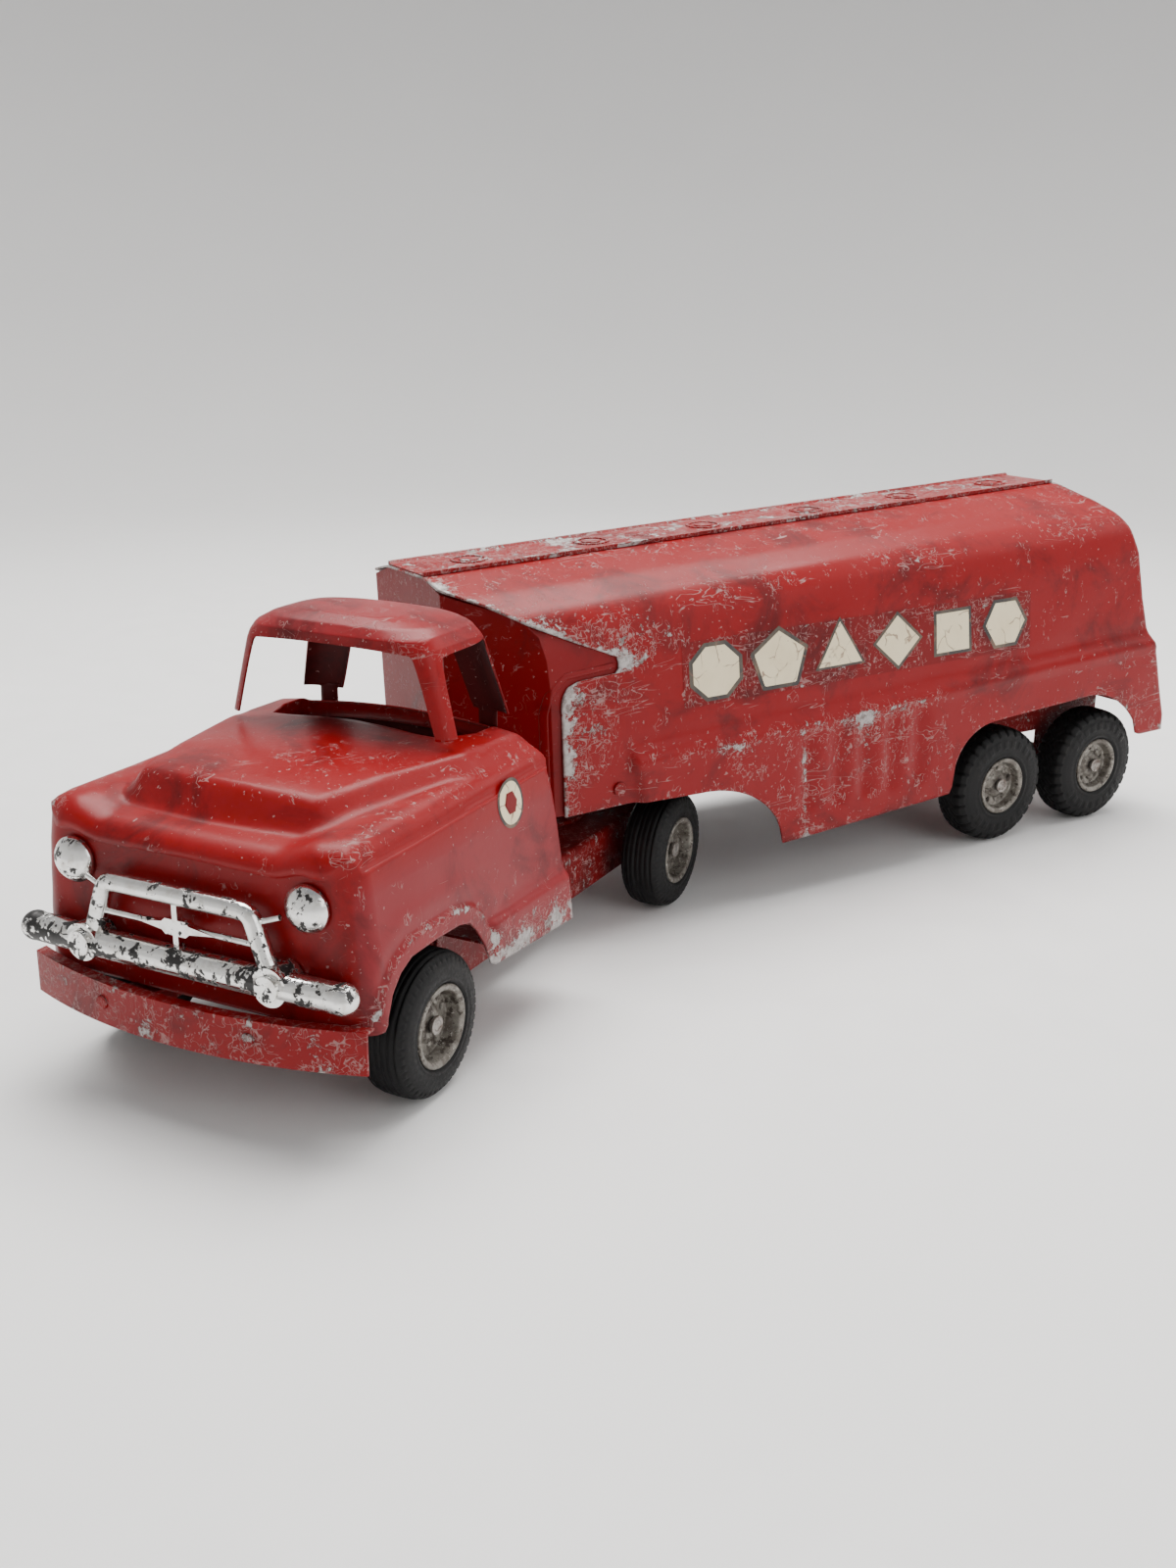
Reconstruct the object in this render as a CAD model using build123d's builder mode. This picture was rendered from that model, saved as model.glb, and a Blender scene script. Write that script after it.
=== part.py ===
from build123d import *
import os

# Pressed-steel toy: a short-nosed tractor that pulls a streamlined tank trailer, parked with the tractor turned.
# Row frame: +X from the trailer's tail to its nose, +Y to its left, +Z up, ground at z = 0.
# The king pin's axis is x = 0, y = 0. The tractor is drawn straight, then turned about that axis.
# The tank's sheets are drawn level, then raked nose-down about the king pin.

# ---- driving dimensions, millimetres and degrees ----
SHEET = 1.0
TRACTOR_YAW = 30.5
TANK_RAKE = 2.7
RAKE_HEIGHT = 62.0

AXLE_R = 2.0
RUNNING_GAP = 0.05
TRACTOR_TYRE_R = 27.6
TRACTOR_RIM_R = 15.6
TANDEM_TYRE_R = 30.7
TANDEM_RIM_R = 14.8
TYRE_WIDTH = 19.5
FRONT_AXLE_X = 196.6
DRIVE_AXLE_X = -15.4
TANDEM_AXLE_X = (-250.0, -322.9)
TRACTOR_TRACK = 72.4
TANDEM_TRACK = 68.4

FRAME_HALF = 44.0
FRAME_TOP = 40.0
FRAME_BOTTOM = 17.0
FRAME_REAR = -46.0
FRAME_FRONT = 226.0
KING_PIN_R = 4.0

CAB_HALF = 72.0
CAB_FRONT = 243.0
CAB_REAR_LOW = 93.5
CAB_REAR_HIGH = 104.0
CAB_BOTTOM = 36.0
FENDER_TOP = 108.0
COWL_Z = 119.5
COWL_X = 149.0
ROOF_TOP = 162.5

TANK_FRONT = 59.0
TANK_TAIL = -331.0
TANK_TOP = 164.4
SKIRT_HALF = 72.3
SIDE_HALF = 69.0
SKIRT_Z = 23.5
CATWALK_HALF = 18.0

os.makedirs("parts", exist_ok=True)

LEVEL = Location((0, 0, 0))
TURNED = Location((0, 0, 0), (0, 0, TRACTOR_YAW))
RAKED = Location((0, 0, RAKE_HEIGHT)) * Location((0, 0, 0), (0, TANK_RAKE, 0)) * Location((0, 0, -RAKE_HEIGHT))


def save(shape, name, place=LEVEL):
    """Moves a finished piece to its place in the row frame and writes it."""
    piece = shape.moved(place)
    piece.label = name
    export_step(piece, f"parts/{name}.step")


def mirrored(points):
    """A closed outline from its right half, listed bottom to top as (y, z)."""
    return points + [(-y, z) for y, z in reversed(points)]


# ---- wheels ----
def tyre_profile(outer_r, rim_r):
    """Half section of a tyre in (distance inboard, radius); its outer face is at 0.5 outboard of the rim plane."""
    flank = outer_r - rim_r
    return [
        (1.6, rim_r - 0.6),
        (0.0, rim_r + 0.4),
        (-0.5, rim_r + 0.35 * flank),
        (0.8, outer_r - 2.6),
        (3.0, outer_r - 0.4),
        (6.0, outer_r),
        (TYRE_WIDTH - 7.0, outer_r),
        (TYRE_WIDTH - 4.0, outer_r - 0.4),
        (TYRE_WIDTH - 1.8, outer_r - 2.6),
        (TYRE_WIDTH - 0.5, rim_r + 0.35 * flank),
        (TYRE_WIDTH - 1.0, rim_r + 0.4),
        (TYRE_WIDTH - 2.6, rim_r - 0.6),
    ]


def make_tyre(outer_r, rim_r):
    """Rubber tyre about the X axis: its rim plane is x = 0 and inboard is +X."""
    with BuildPart() as tyre:
        with BuildSketch(Plane.XY):
            with BuildLine():
                Polyline(*tyre_profile(outer_r, rim_r), close=True)
            make_face()
        revolve(axis=Axis.X)
        groove_half = 0.45
        for across in (0.36, 0.5, 0.64):
            with BuildSketch(Plane.XY):
                with Locations((TYRE_WIDTH * across, outer_r)):
                    Rectangle(2 * groove_half, 2.0)
            revolve(axis=Axis.X, mode=Mode.SUBTRACT)
    return tyre.part


def make_hub(rim_r, dish):
    """Pressed steel wheel about the X axis, with a bore for the axle, five slots and a ring of bolt heads."""
    bead_r = rim_r - 0.6
    with BuildPart() as hub:
        with BuildSketch(Plane.XY):
            with BuildLine():
                Polyline(
                    (0.0, bead_r),
                    (0.6, bead_r - 1.6),
                    (dish, bead_r - 2.6),
                    (dish, 5.6),
                    (dish - 1.6, 4.6),
                    (dish - 1.6, AXLE_R + RUNNING_GAP),
                    (TYRE_WIDTH - 2.6, AXLE_R + RUNNING_GAP),
                    (TYRE_WIDTH - 2.6, 4.2),
                    (dish + 1.2, 4.2),
                    (dish + 1.2, bead_r - 1.2),
                    (TYRE_WIDTH - 2.6, bead_r - 1.2),
                    (TYRE_WIDTH - 2.6, bead_r),
                    close=True,
                )
            make_face()
        revolve(axis=Axis.X)
        slot_ring_r = 0.66 * bead_r
        with BuildSketch(Plane.YZ.offset(dish - 1.0)):
            with PolarLocations(slot_ring_r, 5):
                SlotOverall(3.6, 2.0, rotation=90)
        extrude(amount=3.0, mode=Mode.SUBTRACT)
        with BuildSketch(Plane.YZ.offset(dish - 0.7)):
            with PolarLocations(0.46 * bead_r, 5, start_angle=36):
                Circle(0.8)
        extrude(amount=0.8)
    return hub.part


def wheel_place(x, y, height, side):
    """Turns a wheel made about X so that its rim plane faces left (side 1) or right (side -1)."""
    return Location((x, side * y, height), (0, 0, -90 * side))


TRACTOR_TYRE = make_tyre(TRACTOR_TYRE_R, TRACTOR_RIM_R)
TRACTOR_HUB = make_hub(TRACTOR_RIM_R, 5.0)
TANDEM_TYRE = make_tyre(TANDEM_TYRE_R, TANDEM_RIM_R)
TANDEM_HUB = make_hub(TANDEM_RIM_R, 3.2)

WHEELS = (
    ("front", FRONT_AXLE_X, TRACTOR_TRACK, TRACTOR_TYRE_R, TRACTOR_TYRE, TRACTOR_HUB, TURNED),
    ("drive", DRIVE_AXLE_X, TRACTOR_TRACK, TRACTOR_TYRE_R, TRACTOR_TYRE, TRACTOR_HUB, TURNED),
    ("tandem_front", TANDEM_AXLE_X[0], TANDEM_TRACK, TANDEM_TYRE_R, TANDEM_TYRE, TANDEM_HUB, LEVEL),
    ("tandem_rear", TANDEM_AXLE_X[1], TANDEM_TRACK, TANDEM_TYRE_R, TANDEM_TYRE, TANDEM_HUB, LEVEL),
)
for wheel_name, wheel_x, track, height, tyre_shape, hub_shape, place in WHEELS:
    for side_name, side in (("left", 1), ("right", -1)):
        spot = place * wheel_place(wheel_x, track, height, side)
        save(tyre_shape, f"{wheel_name}_tyre_{side_name}", spot)
        save(hub_shape, f"{wheel_name}_wheel_{side_name}", spot)


# ---- axles with their peened end caps ----
CAP_GAP = 0.25
CAP_R = 3.6


def make_axle(track, dish):
    """Round axle across the truck, and the pressed caps that hold its wheels on."""
    cap_at = track - (dish - 1.6) + CAP_GAP
    reach = cap_at + 1.4
    with BuildPart() as axle:
        with BuildSketch(Plane.XZ):
            Circle(AXLE_R)
        extrude(amount=reach, both=True)
    with BuildPart() as caps:
        for side in (1, -1):
            with BuildSketch(Plane.XZ.offset(-side * cap_at)):
                Circle(CAP_R)
                Circle(AXLE_R, mode=Mode.SUBTRACT)
            extrude(amount=-side * 1.4)
    return axle.part, caps.part


AXLES = (
    ("front", FRONT_AXLE_X, TRACTOR_TRACK, 5.0, TRACTOR_TYRE_R, TURNED),
    ("drive", DRIVE_AXLE_X, TRACTOR_TRACK, 5.0, TRACTOR_TYRE_R, TURNED),
    ("tandem_front", TANDEM_AXLE_X[0], TANDEM_TRACK, 3.2, TANDEM_TYRE_R, LEVEL),
    ("tandem_rear", TANDEM_AXLE_X[1], TANDEM_TRACK, 3.2, TANDEM_TYRE_R, LEVEL),
)
for axle_name, axle_x, track, dish, height, place in AXLES:
    axle_shape, cap_shape = make_axle(track, dish)
    spot = place * Location((axle_x, 0, height))
    save(axle_shape, f"{axle_name}_axle", spot)
    save(cap_shape, f"{axle_name}_axle_caps", spot)


# ---- tractor frame: one inverted channel from the bumper to the fifth wheel ----
with BuildPart() as tractor_frame:
    with BuildSketch(Plane.XY.offset(FRAME_BOTTOM)):
        with Locations(((FRAME_FRONT + FRAME_REAR) / 2, 0)):
            Rectangle(FRAME_FRONT - FRAME_REAR, 2 * FRAME_HALF)
    extrude(amount=FRAME_TOP - FRAME_BOTTOM)
    fillet(tractor_frame.edges().filter_by(Axis.X).group_by(Axis.Z)[-1], 2.5)
    with BuildSketch(Plane.XY.offset(FRAME_BOTTOM)):
        with Locations(((FRAME_FRONT + FRAME_REAR) / 2, 0)):
            Rectangle(FRAME_FRONT - FRAME_REAR + 2, 2 * (FRAME_HALF - SHEET))
    extrude(amount=FRAME_TOP - FRAME_BOTTOM - SHEET, mode=Mode.SUBTRACT)
    for hole_x in (FRONT_AXLE_X, DRIVE_AXLE_X):
        with BuildSketch(Plane.XZ):
            with Locations((hole_x, TRACTOR_TYRE_R)):
                Circle(AXLE_R)
        extrude(amount=FRAME_HALF + 1, both=True, mode=Mode.SUBTRACT)
    with BuildSketch(Plane.XY.offset(FRAME_BOTTOM)):
        Circle(KING_PIN_R + 0.3)
    extrude(amount=40, mode=Mode.SUBTRACT)
save(tractor_frame.part, "tractor_frame", TURNED)

# ---- fifth wheel: a round pressed plate on the frame, under the trailer's cup ----
PLATE_T = 1.6
PLATE_R = 27.0
with BuildPart() as fifth_wheel:
    with BuildSketch(Plane.XY.offset(FRAME_TOP)):
        Circle(PLATE_R)
        Circle(KING_PIN_R + RUNNING_GAP, mode=Mode.SUBTRACT)
    extrude(amount=PLATE_T)
    fillet(fifth_wheel.edges().filter_by(GeomType.CIRCLE).sort_by(SortBy.LENGTH)[-2:].sort_by(Axis.Z)[-1], 0.8)
save(fifth_wheel.part, "fifth_wheel_plate", TURNED)


# ---- cab: one stamping for bonnet, fenders and doors ----
def cab_outline(inset, low):
    """Side outline of the cab below the belt, as (x, z), with its open bottom lowered by low."""
    return [
        (CAB_REAR_LOW + inset, CAB_BOTTOM - 2.0 - low),
        (CAB_REAR_HIGH + 2.5 + inset, 103.0),
        (CAB_REAR_HIGH - 2.0 + inset, FENDER_TOP + 4.0 - inset),
        (160.0, FENDER_TOP + 4.0 - inset),
        (205.0, FENDER_TOP - inset),
        (235.0, FENDER_TOP - 0.5 - inset),
        (CAB_FRONT + 3.0 - inset, FENDER_TOP - 6.0 - inset),
        (CAB_FRONT + 2.5 - inset, FENDER_TOP - 11.0 - inset),
        (CAB_FRONT - inset, FENDER_TOP - 13.5 - inset),
        (CAB_FRONT - inset, CAB_BOTTOM + 6.0),
        (CAB_FRONT - 4.0 - inset, CAB_BOTTOM - low),
    ]


def cab_form(inset, low):
    """The cab's closed outer form, drawn in by inset on every face but its open bottom, which is low below it."""
    half = CAB_HALF - inset
    with BuildPart() as form:
        with BuildSketch(Plane.XZ):
            with BuildLine():
                Polyline(*cab_outline(inset, low), close=True)
            make_face()
        extrude(amount=half, both=True)
        with BuildSketch(Plane.YZ):
            with BuildLine():
                Polyline(*mirrored([
                    (half, 10.0),
                    (half, 56.0),
                    (half - 3.0, 90.0),
                    (half - 7.5, 101.5 - inset * 0.6),
                    (half - 15.0, FENDER_TOP - inset),
                    (half - 23.0, 140.0),
                ]), close=True)
            make_face()
        extrude(amount=300, mode=Mode.INTERSECT)
        with BuildSketch(Plane.XY):
            with BuildLine():
                Polyline(
                    (80.0, half),
                    (CAB_FRONT - 14.0, half),
                    (CAB_FRONT - 3.0, half - 4.0),
                    (CAB_FRONT + 1.0 - inset, half - 11.0),
                    (CAB_FRONT + 4.0 - inset, 0.0),
                    (CAB_FRONT + 1.0 - inset, 11.0 - half),
                    (CAB_FRONT - 3.0, 4.0 - half),
                    (CAB_FRONT - 14.0, -half),
                    (80.0, -half),
                    close=True,
                )
            make_face()
        extrude(amount=300, mode=Mode.INTERSECT)
    return form.part


def bonnet_plan(inset):
    """The bonnet's plan, wide at the doors and narrow at the front, with sides that lean in as they rise."""
    with BuildPart() as form:
        for height, lean in ((96.0, 0.0), (136.0, 22.0)):
            with BuildSketch(Plane.XY.offset(height)):
                with BuildLine():
                    Polyline((90.0, 68.0 - inset - lean), (COWL_X + 6.0, 67.0 - inset - lean),
                             (238.0, 50.0 - inset - lean), (238.0, lean + inset - 50.0),
                             (COWL_X + 6.0, lean + inset - 67.0), (90.0, lean + inset - 68.0), close=True)
                make_face()
        loft(ruled=True)
    return form.part


def bonnet_form(inset):
    """The raised centre of the bonnet and the cowl, which the windscreen stands on."""
    with BuildPart() as form:
        with BuildSketch(Plane.XZ):
            with BuildLine():
                Polyline(
                    (CAB_REAR_HIGH - 1.0 + inset, 96.0),
                    (CAB_REAR_HIGH - 1.0 + inset, COWL_Z - 2.0 - inset),
                    (CAB_REAR_HIGH + 4.0, COWL_Z - inset),
                    (COWL_X, COWL_Z + 0.5 - inset),
                    (190.0, COWL_Z - 0.5 - inset),
                    (219.0 - inset, COWL_Z - 3.0 - inset),
                    (228.0 - inset, COWL_Z - 6.5 - inset),
                    (237.0 - inset, FENDER_TOP - 4.5),
                    (237.0 - inset, 96.0),
                    close=True,
                )
            make_face()
        extrude(amount=CAB_HALF, both=True)
        add(bonnet_plan(inset), mode=Mode.INTERSECT)
    return form.part


with BuildPart() as cab_body:
    add(cab_form(0, 0))
    add(bonnet_form(0))
    add(cab_form(SHEET, 5.0), mode=Mode.SUBTRACT)
    add(bonnet_form(SHEET), mode=Mode.SUBTRACT)
    # door sill that steps out below its bead
    with BuildSketch(Plane.XZ):
        with BuildLine():
            Polyline((96.0, 55.0), (CAB_REAR_LOW + 0.5, CAB_BOTTOM - 2.0), (161.0, CAB_BOTTOM + 2.0), (163.0, 56.0),
                     close=True)
        make_face()
    extrude(amount=CAB_HALF + 2.6, both=True)
    with BuildSketch(Plane.XZ):
        with BuildLine():
            Polyline((90.0, 53.8), (90.0, 0.0), (159.5, 0.0), (161.5, 53.8), close=True)
        make_face()
    extrude(amount=CAB_HALF + 1.4, both=True, mode=Mode.SUBTRACT)
    # rolled bead round the wheel arch
    with BuildSketch(Plane.XZ):
        with BuildLine():
            Polyline((159.0, 38.0), (164.0, 56.0), (171.5, 66.0), (180.0, 69.0), (217.0, 69.0), (229.0, 62.0),
                     (236.0, 42.0), close=True)
        make_face()
    extrude(amount=CAB_HALF + 1.6, both=True)
    # wheel arch, cut through both sides
    with BuildSketch(Plane.XZ):
        with BuildLine():
            Polyline((161.0, 20.0), (161.5, 37.0), (168.0, 56.5), (175.0, 62.5), (215.0, 63.5), (226.0, 57.0),
                     (232.0, 42.0), (232.0, 20.0), close=True)
        make_face()
    extrude(amount=CAB_HALF + 4, both=True, mode=Mode.SUBTRACT)
    # everything between the side walls stays clear for the frame and the wheels
    with BuildSketch(Plane.XY.offset(CAB_BOTTOM - 3.0)):
        with Locations(((CAB_REAR_LOW + CAB_FRONT) / 2, 0)):
            Rectangle(CAB_FRONT - CAB_REAR_LOW - 4.4, 2 * (CAB_HALF - SHEET - 0.4))
    extrude(amount=40.0, mode=Mode.SUBTRACT)
    # opening for the driver's compartment, behind the windscreen
    with BuildSketch(Plane.XY.offset(90.0)):
        with BuildLine():
            Polyline((CAB_REAR_HIGH + 4.5, 47.0), (142.0, 46.0), (COWL_X - 6.0, 30.0), (COWL_X - 7.5, 0.0),
                     (COWL_X - 6.0, -30.0), (142.0, -46.0), (CAB_REAR_HIGH + 4.5, -47.0), close=True)
        make_face()
        fillet(vertices(), 3.0)
    extrude(amount=50.0, mode=Mode.SUBTRACT)
save(cab_body.part, "cab_body", TURNED)


# ---- cab roof: roof panel and four pillars in one stamping ----
def roof_form(inset):
    """The roof's closed form: a tapered block with rounded crown edges, drawn in by inset."""
    with BuildPart() as form:
        with BuildSketch(Plane.XY.offset(COWL_Z + 0.6)):
            with Locations((129.5, 0)):
                RectangleRounded(54.0 - 2 * inset, 105.0 - 2 * inset, 7.0 - inset)
        with BuildSketch(Plane.XY.offset(ROOF_TOP - inset)):
            with Locations((133.5, 0)):
                RectangleRounded(49.0 - 2 * inset, 83.0 - 2 * inset, 13.0 - inset)
        loft()
        fillet(form.faces().sort_by(Axis.Z)[-1].edges(), 6.5 - inset)
    return form.part


with BuildPart() as cab_roof:
    add(roof_form(0))
    add(roof_form(SHEET), mode=Mode.SUBTRACT)
    # open bottom
    with BuildSketch(Plane.XY.offset(COWL_Z)):
        with Locations((129.5, 0)):
            Rectangle(54.0 - 2 * SHEET, 105.0 - 2 * SHEET)
    extrude(amount=3.0, mode=Mode.SUBTRACT)
    # windscreen opening
    with BuildSketch(Plane.YZ.offset(145.0)):
        with BuildLine():
            Polyline(*mirrored([(43.5, 110.0), (40.5, 151.0)]), close=True)
        make_face()
        fillet(vertices().group_by(Axis.Y)[-1], 6.0)
    extrude(amount=20.0, mode=Mode.SUBTRACT)
    # side windows
    with BuildSketch(Plane.XZ):
        with BuildLine():
            Polyline((108.0, 110.0), (148.0, 110.0), (152.0, 149.5), (114.0, 151.5), close=True)
        make_face()
        fillet(vertices().group_by(Axis.Y)[-1], 3.0)
    extrude(amount=60.0, both=True, mode=Mode.SUBTRACT)
    # rear window, open down to the deck, with a foot left under each rear pillar
    with BuildSketch(Plane.YZ.offset(100.0)):
        with BuildLine():
            Polyline(*mirrored([(27.0, 110.0), (24.5, 152.0)]), close=True)
        make_face()
        fillet(vertices().group_by(Axis.Y)[-1], 5.0)
    extrude(amount=20.0, mode=Mode.SUBTRACT)
save(cab_roof.part, "cab_roof", TURNED)

# ---- front bumper: a bowed strip with its top edge turned back ----
BUMPER_HALF = 73.0
BUMPER_BOW = 13.0
BUMPER_X = 257.5
BUMPER_LOW = 30.0
BUMPER_HIGH = 46.0
RIVET_Y = 32.0
RIVET_Z = 38.5
RIVET_R = 2.6


def bow_strip(height, front_x, depth, half):
    """A strip in plan, at that height, that bows forward to front_x, depth thick, out to half on each side."""
    end_x = front_x - BUMPER_BOW
    with BuildSketch(Plane.XY.offset(height)) as strip:
        with BuildLine():
            ThreePointArc((end_x, -half), (front_x, 0), (end_x, half))
            Line((end_x, half), (end_x - depth, half))
            ThreePointArc((end_x - depth, half), (front_x - depth, 0), (end_x - depth, -half))
            Line((end_x - depth, -half), (end_x, -half))
        make_face()
    return strip.sketch


with BuildPart() as front_bumper:
    add(bow_strip(BUMPER_LOW, BUMPER_X, SHEET, BUMPER_HALF))
    extrude(amount=BUMPER_HIGH - BUMPER_LOW)
    add(bow_strip(BUMPER_HIGH - SHEET, BUMPER_X, 5.0, BUMPER_HALF))
    extrude(amount=SHEET)
    with BuildSketch(Plane.YZ.offset(BUMPER_X - BUMPER_BOW)):
        with Locations((RIVET_Y, RIVET_Z), (-RIVET_Y, RIVET_Z)):
            Circle(RIVET_R)
    extrude(amount=2 * BUMPER_BOW, mode=Mode.SUBTRACT)
save(front_bumper.part, "front_bumper", TURNED)

# two brackets carry the bumper on the frame's front end
with BuildPart() as bumper_brackets:
    for side in (1, -1):
        with BuildSketch(Plane.XY.offset(34.0)):
            with Locations((FRAME_FRONT + 12.0, side * 33.0)):
                Rectangle(32.0, 14.0)
        extrude(amount=1.2)
    with BuildSketch(Plane.XY.offset(34.0)):
        with BuildLine():
            ThreePointArc((BUMPER_X - SHEET - BUMPER_BOW, -BUMPER_HALF), (BUMPER_X - SHEET, 0),
                          (BUMPER_X - SHEET - BUMPER_BOW, BUMPER_HALF))
            Line((BUMPER_X - SHEET - BUMPER_BOW, BUMPER_HALF), (FRAME_FRONT - 10.0, BUMPER_HALF))
            Line((FRAME_FRONT - 10.0, BUMPER_HALF), (FRAME_FRONT - 10.0, -BUMPER_HALF))
            Line((FRAME_FRONT - 10.0, -BUMPER_HALF), (BUMPER_X - SHEET - BUMPER_BOW, -BUMPER_HALF))
        make_face()
    extrude(amount=1.2, mode=Mode.INTERSECT)
save(bumper_brackets.part, "bumper_brackets", TURNED)

with BuildPart() as bumper_rivets:
    for side in (1, -1):
        face_x = BUMPER_X - BUMPER_BOW * (RIVET_Y / BUMPER_HALF) ** 2
        with BuildSketch(Plane.YZ.offset(face_x - 1.0)):
            with Locations((side * RIVET_Y, RIVET_Z)):
                Circle(RIVET_R)
        extrude(amount=2.2)
save(bumper_rivets.part, "bumper_rivets", TURNED)

# ---- plated grille guard, one moulding ----
GUARD_X = 249.4
LOWER_Z = 58.6
UPPER_Z = 82.8
with BuildPart() as grille_guard:
    with BuildLine():
        FilletPolyline((GUARD_X - 1.0, -67.0, LOWER_Z), (GUARD_X, -40.9, LOWER_Z), (GUARD_X, 40.9, LOWER_Z),
                       (GUARD_X - 1.0, 67.0, LOWER_Z), radius=20.0)
    with BuildSketch(Plane(origin=(GUARD_X - 1.0, -67.0, LOWER_Z), z_dir=(1.0, 26.1, 0))):
        Circle(5.4)
    sweep()
    for side in (1, -1):
        with Locations((GUARD_X - 1.0, side * 67.0, LOWER_Z)):
            Sphere(5.6)
        with BuildSketch(Plane.YZ.offset(CAB_FRONT)):
            with Locations((side * 40.9, LOWER_Z + 0.5)):
                Circle(7.0)
        extrude(amount=GUARD_X + 4.5 - CAB_FRONT)
        with BuildSketch(Plane.YZ.offset(GUARD_X + 4.5)):
            with Locations((side * 40.9, LOWER_Z + 0.5)):
                Circle(4.6)
        extrude(amount=1.8)
    with BuildLine():
        FilletPolyline((GUARD_X, -40.0, LOWER_Z), (GUARD_X, -31.2, UPPER_Z), (GUARD_X, 31.2, UPPER_Z),
                       (GUARD_X, 40.0, LOWER_Z), radius=5.0)
    with BuildSketch(Plane(origin=(GUARD_X, -40.0, LOWER_Z), z_dir=(0, 8.8, UPPER_Z - LOWER_Z))):
        Circle(3.4)
    sweep()
    with BuildSketch(Plane.XZ):
        with Locations((GUARD_X, 71.5)):
            Circle(1.2)
    extrude(amount=35.0, both=True)
    with BuildSketch(Plane.YZ.offset(GUARD_X - 1.6)):
        Rectangle(2.2, 4.0)
        with Locations((0, (LOWER_Z + UPPER_Z) / 2)):
            Rectangle(2.2, UPPER_Z - LOWER_Z)
        with BuildLine():
            Polyline((-17.0, 71.5), (-6.0, 73.0), (-4.4, 74.4), (4.4, 74.4), (6.0, 73.0), (17.0, 71.5), (6.0, 70.0),
                     (4.4, 68.6), (-4.4, 68.6), (-6.0, 70.0), close=True)
        make_face()
        with Locations((0, 0)):
            Rectangle(4.0, 8.0, mode=Mode.SUBTRACT)
    extrude(amount=3.2)
    for side in (1, -1):
        with BuildSketch(Plane(origin=(GUARD_X - 1.0, side * 33.0, 79.2), z_dir=(-0.14, side * 0.93, 0.30))):
            Circle(1.1)
        extrude(amount=9.4)
save(grille_guard.part, "grille_guard", TURNED)

# ---- headlights: domed plated caps, each with a stem to the guard ----
LAMP_Y = 50.6
LAMP_Z = 85.6
LAMP_R = 8.6
LAMP_RIM = 1.4
LAMP_DOME = 5.0
LAMP_DOME_R = (LAMP_R**2 + LAMP_DOME**2) / (2 * LAMP_DOME)
for side_name, side in (("left", 1), ("right", -1)):
    with BuildPart() as headlight:
        with BuildSketch(Plane.XY):
            with BuildLine():
                Line((0, 0), (0, LAMP_R))
                Line((0, LAMP_R), (LAMP_RIM, LAMP_R))
                RadiusArc((LAMP_RIM, LAMP_R), (LAMP_RIM + LAMP_DOME, 0), LAMP_DOME_R)
                Line((LAMP_RIM + LAMP_DOME, 0), (0, 0))
            make_face()
        revolve(axis=Axis.X)
    base = TURNED * Location((CAB_FRONT, side * LAMP_Y, LAMP_Z))
    save(headlight.part, f"headlight_{side_name}", base)

# ---- angle brackets that hold the cab to the frame, and their rivets ----
with BuildPart() as frame_rivets:
    for side in (1, -1):
        with BuildSketch(Plane.XZ.offset(-side * (FRAME_HALF + 1.2))):
            with Locations((110.0, 32.0), (150.0, 32.0)):
                Circle(2.4)
        extrude(amount=-side * 1.3)
save(frame_rivets.part, "frame_rivets", TURNED)

with BuildPart() as cab_mounts:
    for side in (1, -1):
        for mount_x in (110.0, 150.0):
            with BuildSketch(Plane.YZ.offset(mount_x - 6.0)):
                with BuildLine():
                    Polyline((side * (FRAME_HALF + 0.0), FRAME_TOP - 14.0),
                             (side * (FRAME_HALF + 0.0), FRAME_TOP + 4.0),
                             (side * (CAB_HALF - SHEET - 0.4), FRAME_TOP + 4.0),
                             (side * (CAB_HALF - SHEET - 0.4), FRAME_TOP + 2.8),
                             (side * (FRAME_HALF + 1.2), FRAME_TOP + 2.8),
                             (side * (FRAME_HALF + 1.2), FRAME_TOP - 14.0), close=True)
                make_face()
            extrude(amount=12.0)
save(cab_mounts.part, "cab_mounts", TURNED)


# ---- tank shell ----
def tank_section(inset):
    """Cross-section of the tank as (y, z), drawn in by inset on every face but its open bottom."""
    top = TANK_TOP - inset
    return mirrored([
        (SIDE_HALF + 0.2 - inset, 5.0),
        (SIDE_HALF + 0.2 - inset, 92.0),
        (SIDE_HALF - 1.4 - inset, 112.0),
        (SIDE_HALF - 2.8 - inset, 132.0),
        (SIDE_HALF - 5.2 - inset * 0.9, 142.0 - inset * 0.3),
        (SIDE_HALF - 12.0 - inset * 0.5, 150.6 - inset * 0.8),
        (CATWALK_HALF, top),
    ])


def skirt_section(inset):
    """Cross-section of the skirt that stands out below the belly crease."""
    return mirrored([
        (SKIRT_HALF - inset, 5.0),
        (SKIRT_HALF - inset, 79.0 - inset * 0.6),
        (SIDE_HALF + 0.2 - inset, 90.0 - inset * 0.3),
        (SIDE_HALF - 10.0, 90.0 - inset * 0.3),
    ])


def extrude_section(points, start_x, end_x):
    """A cross-section run along the tank from start_x to end_x."""
    with BuildPart() as run:
        with BuildSketch(Plane.YZ.offset(start_x)):
            with BuildLine():
                Polyline(*points, close=True)
            make_face()
        extrude(amount=end_x - start_x)
    return run.part


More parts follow.
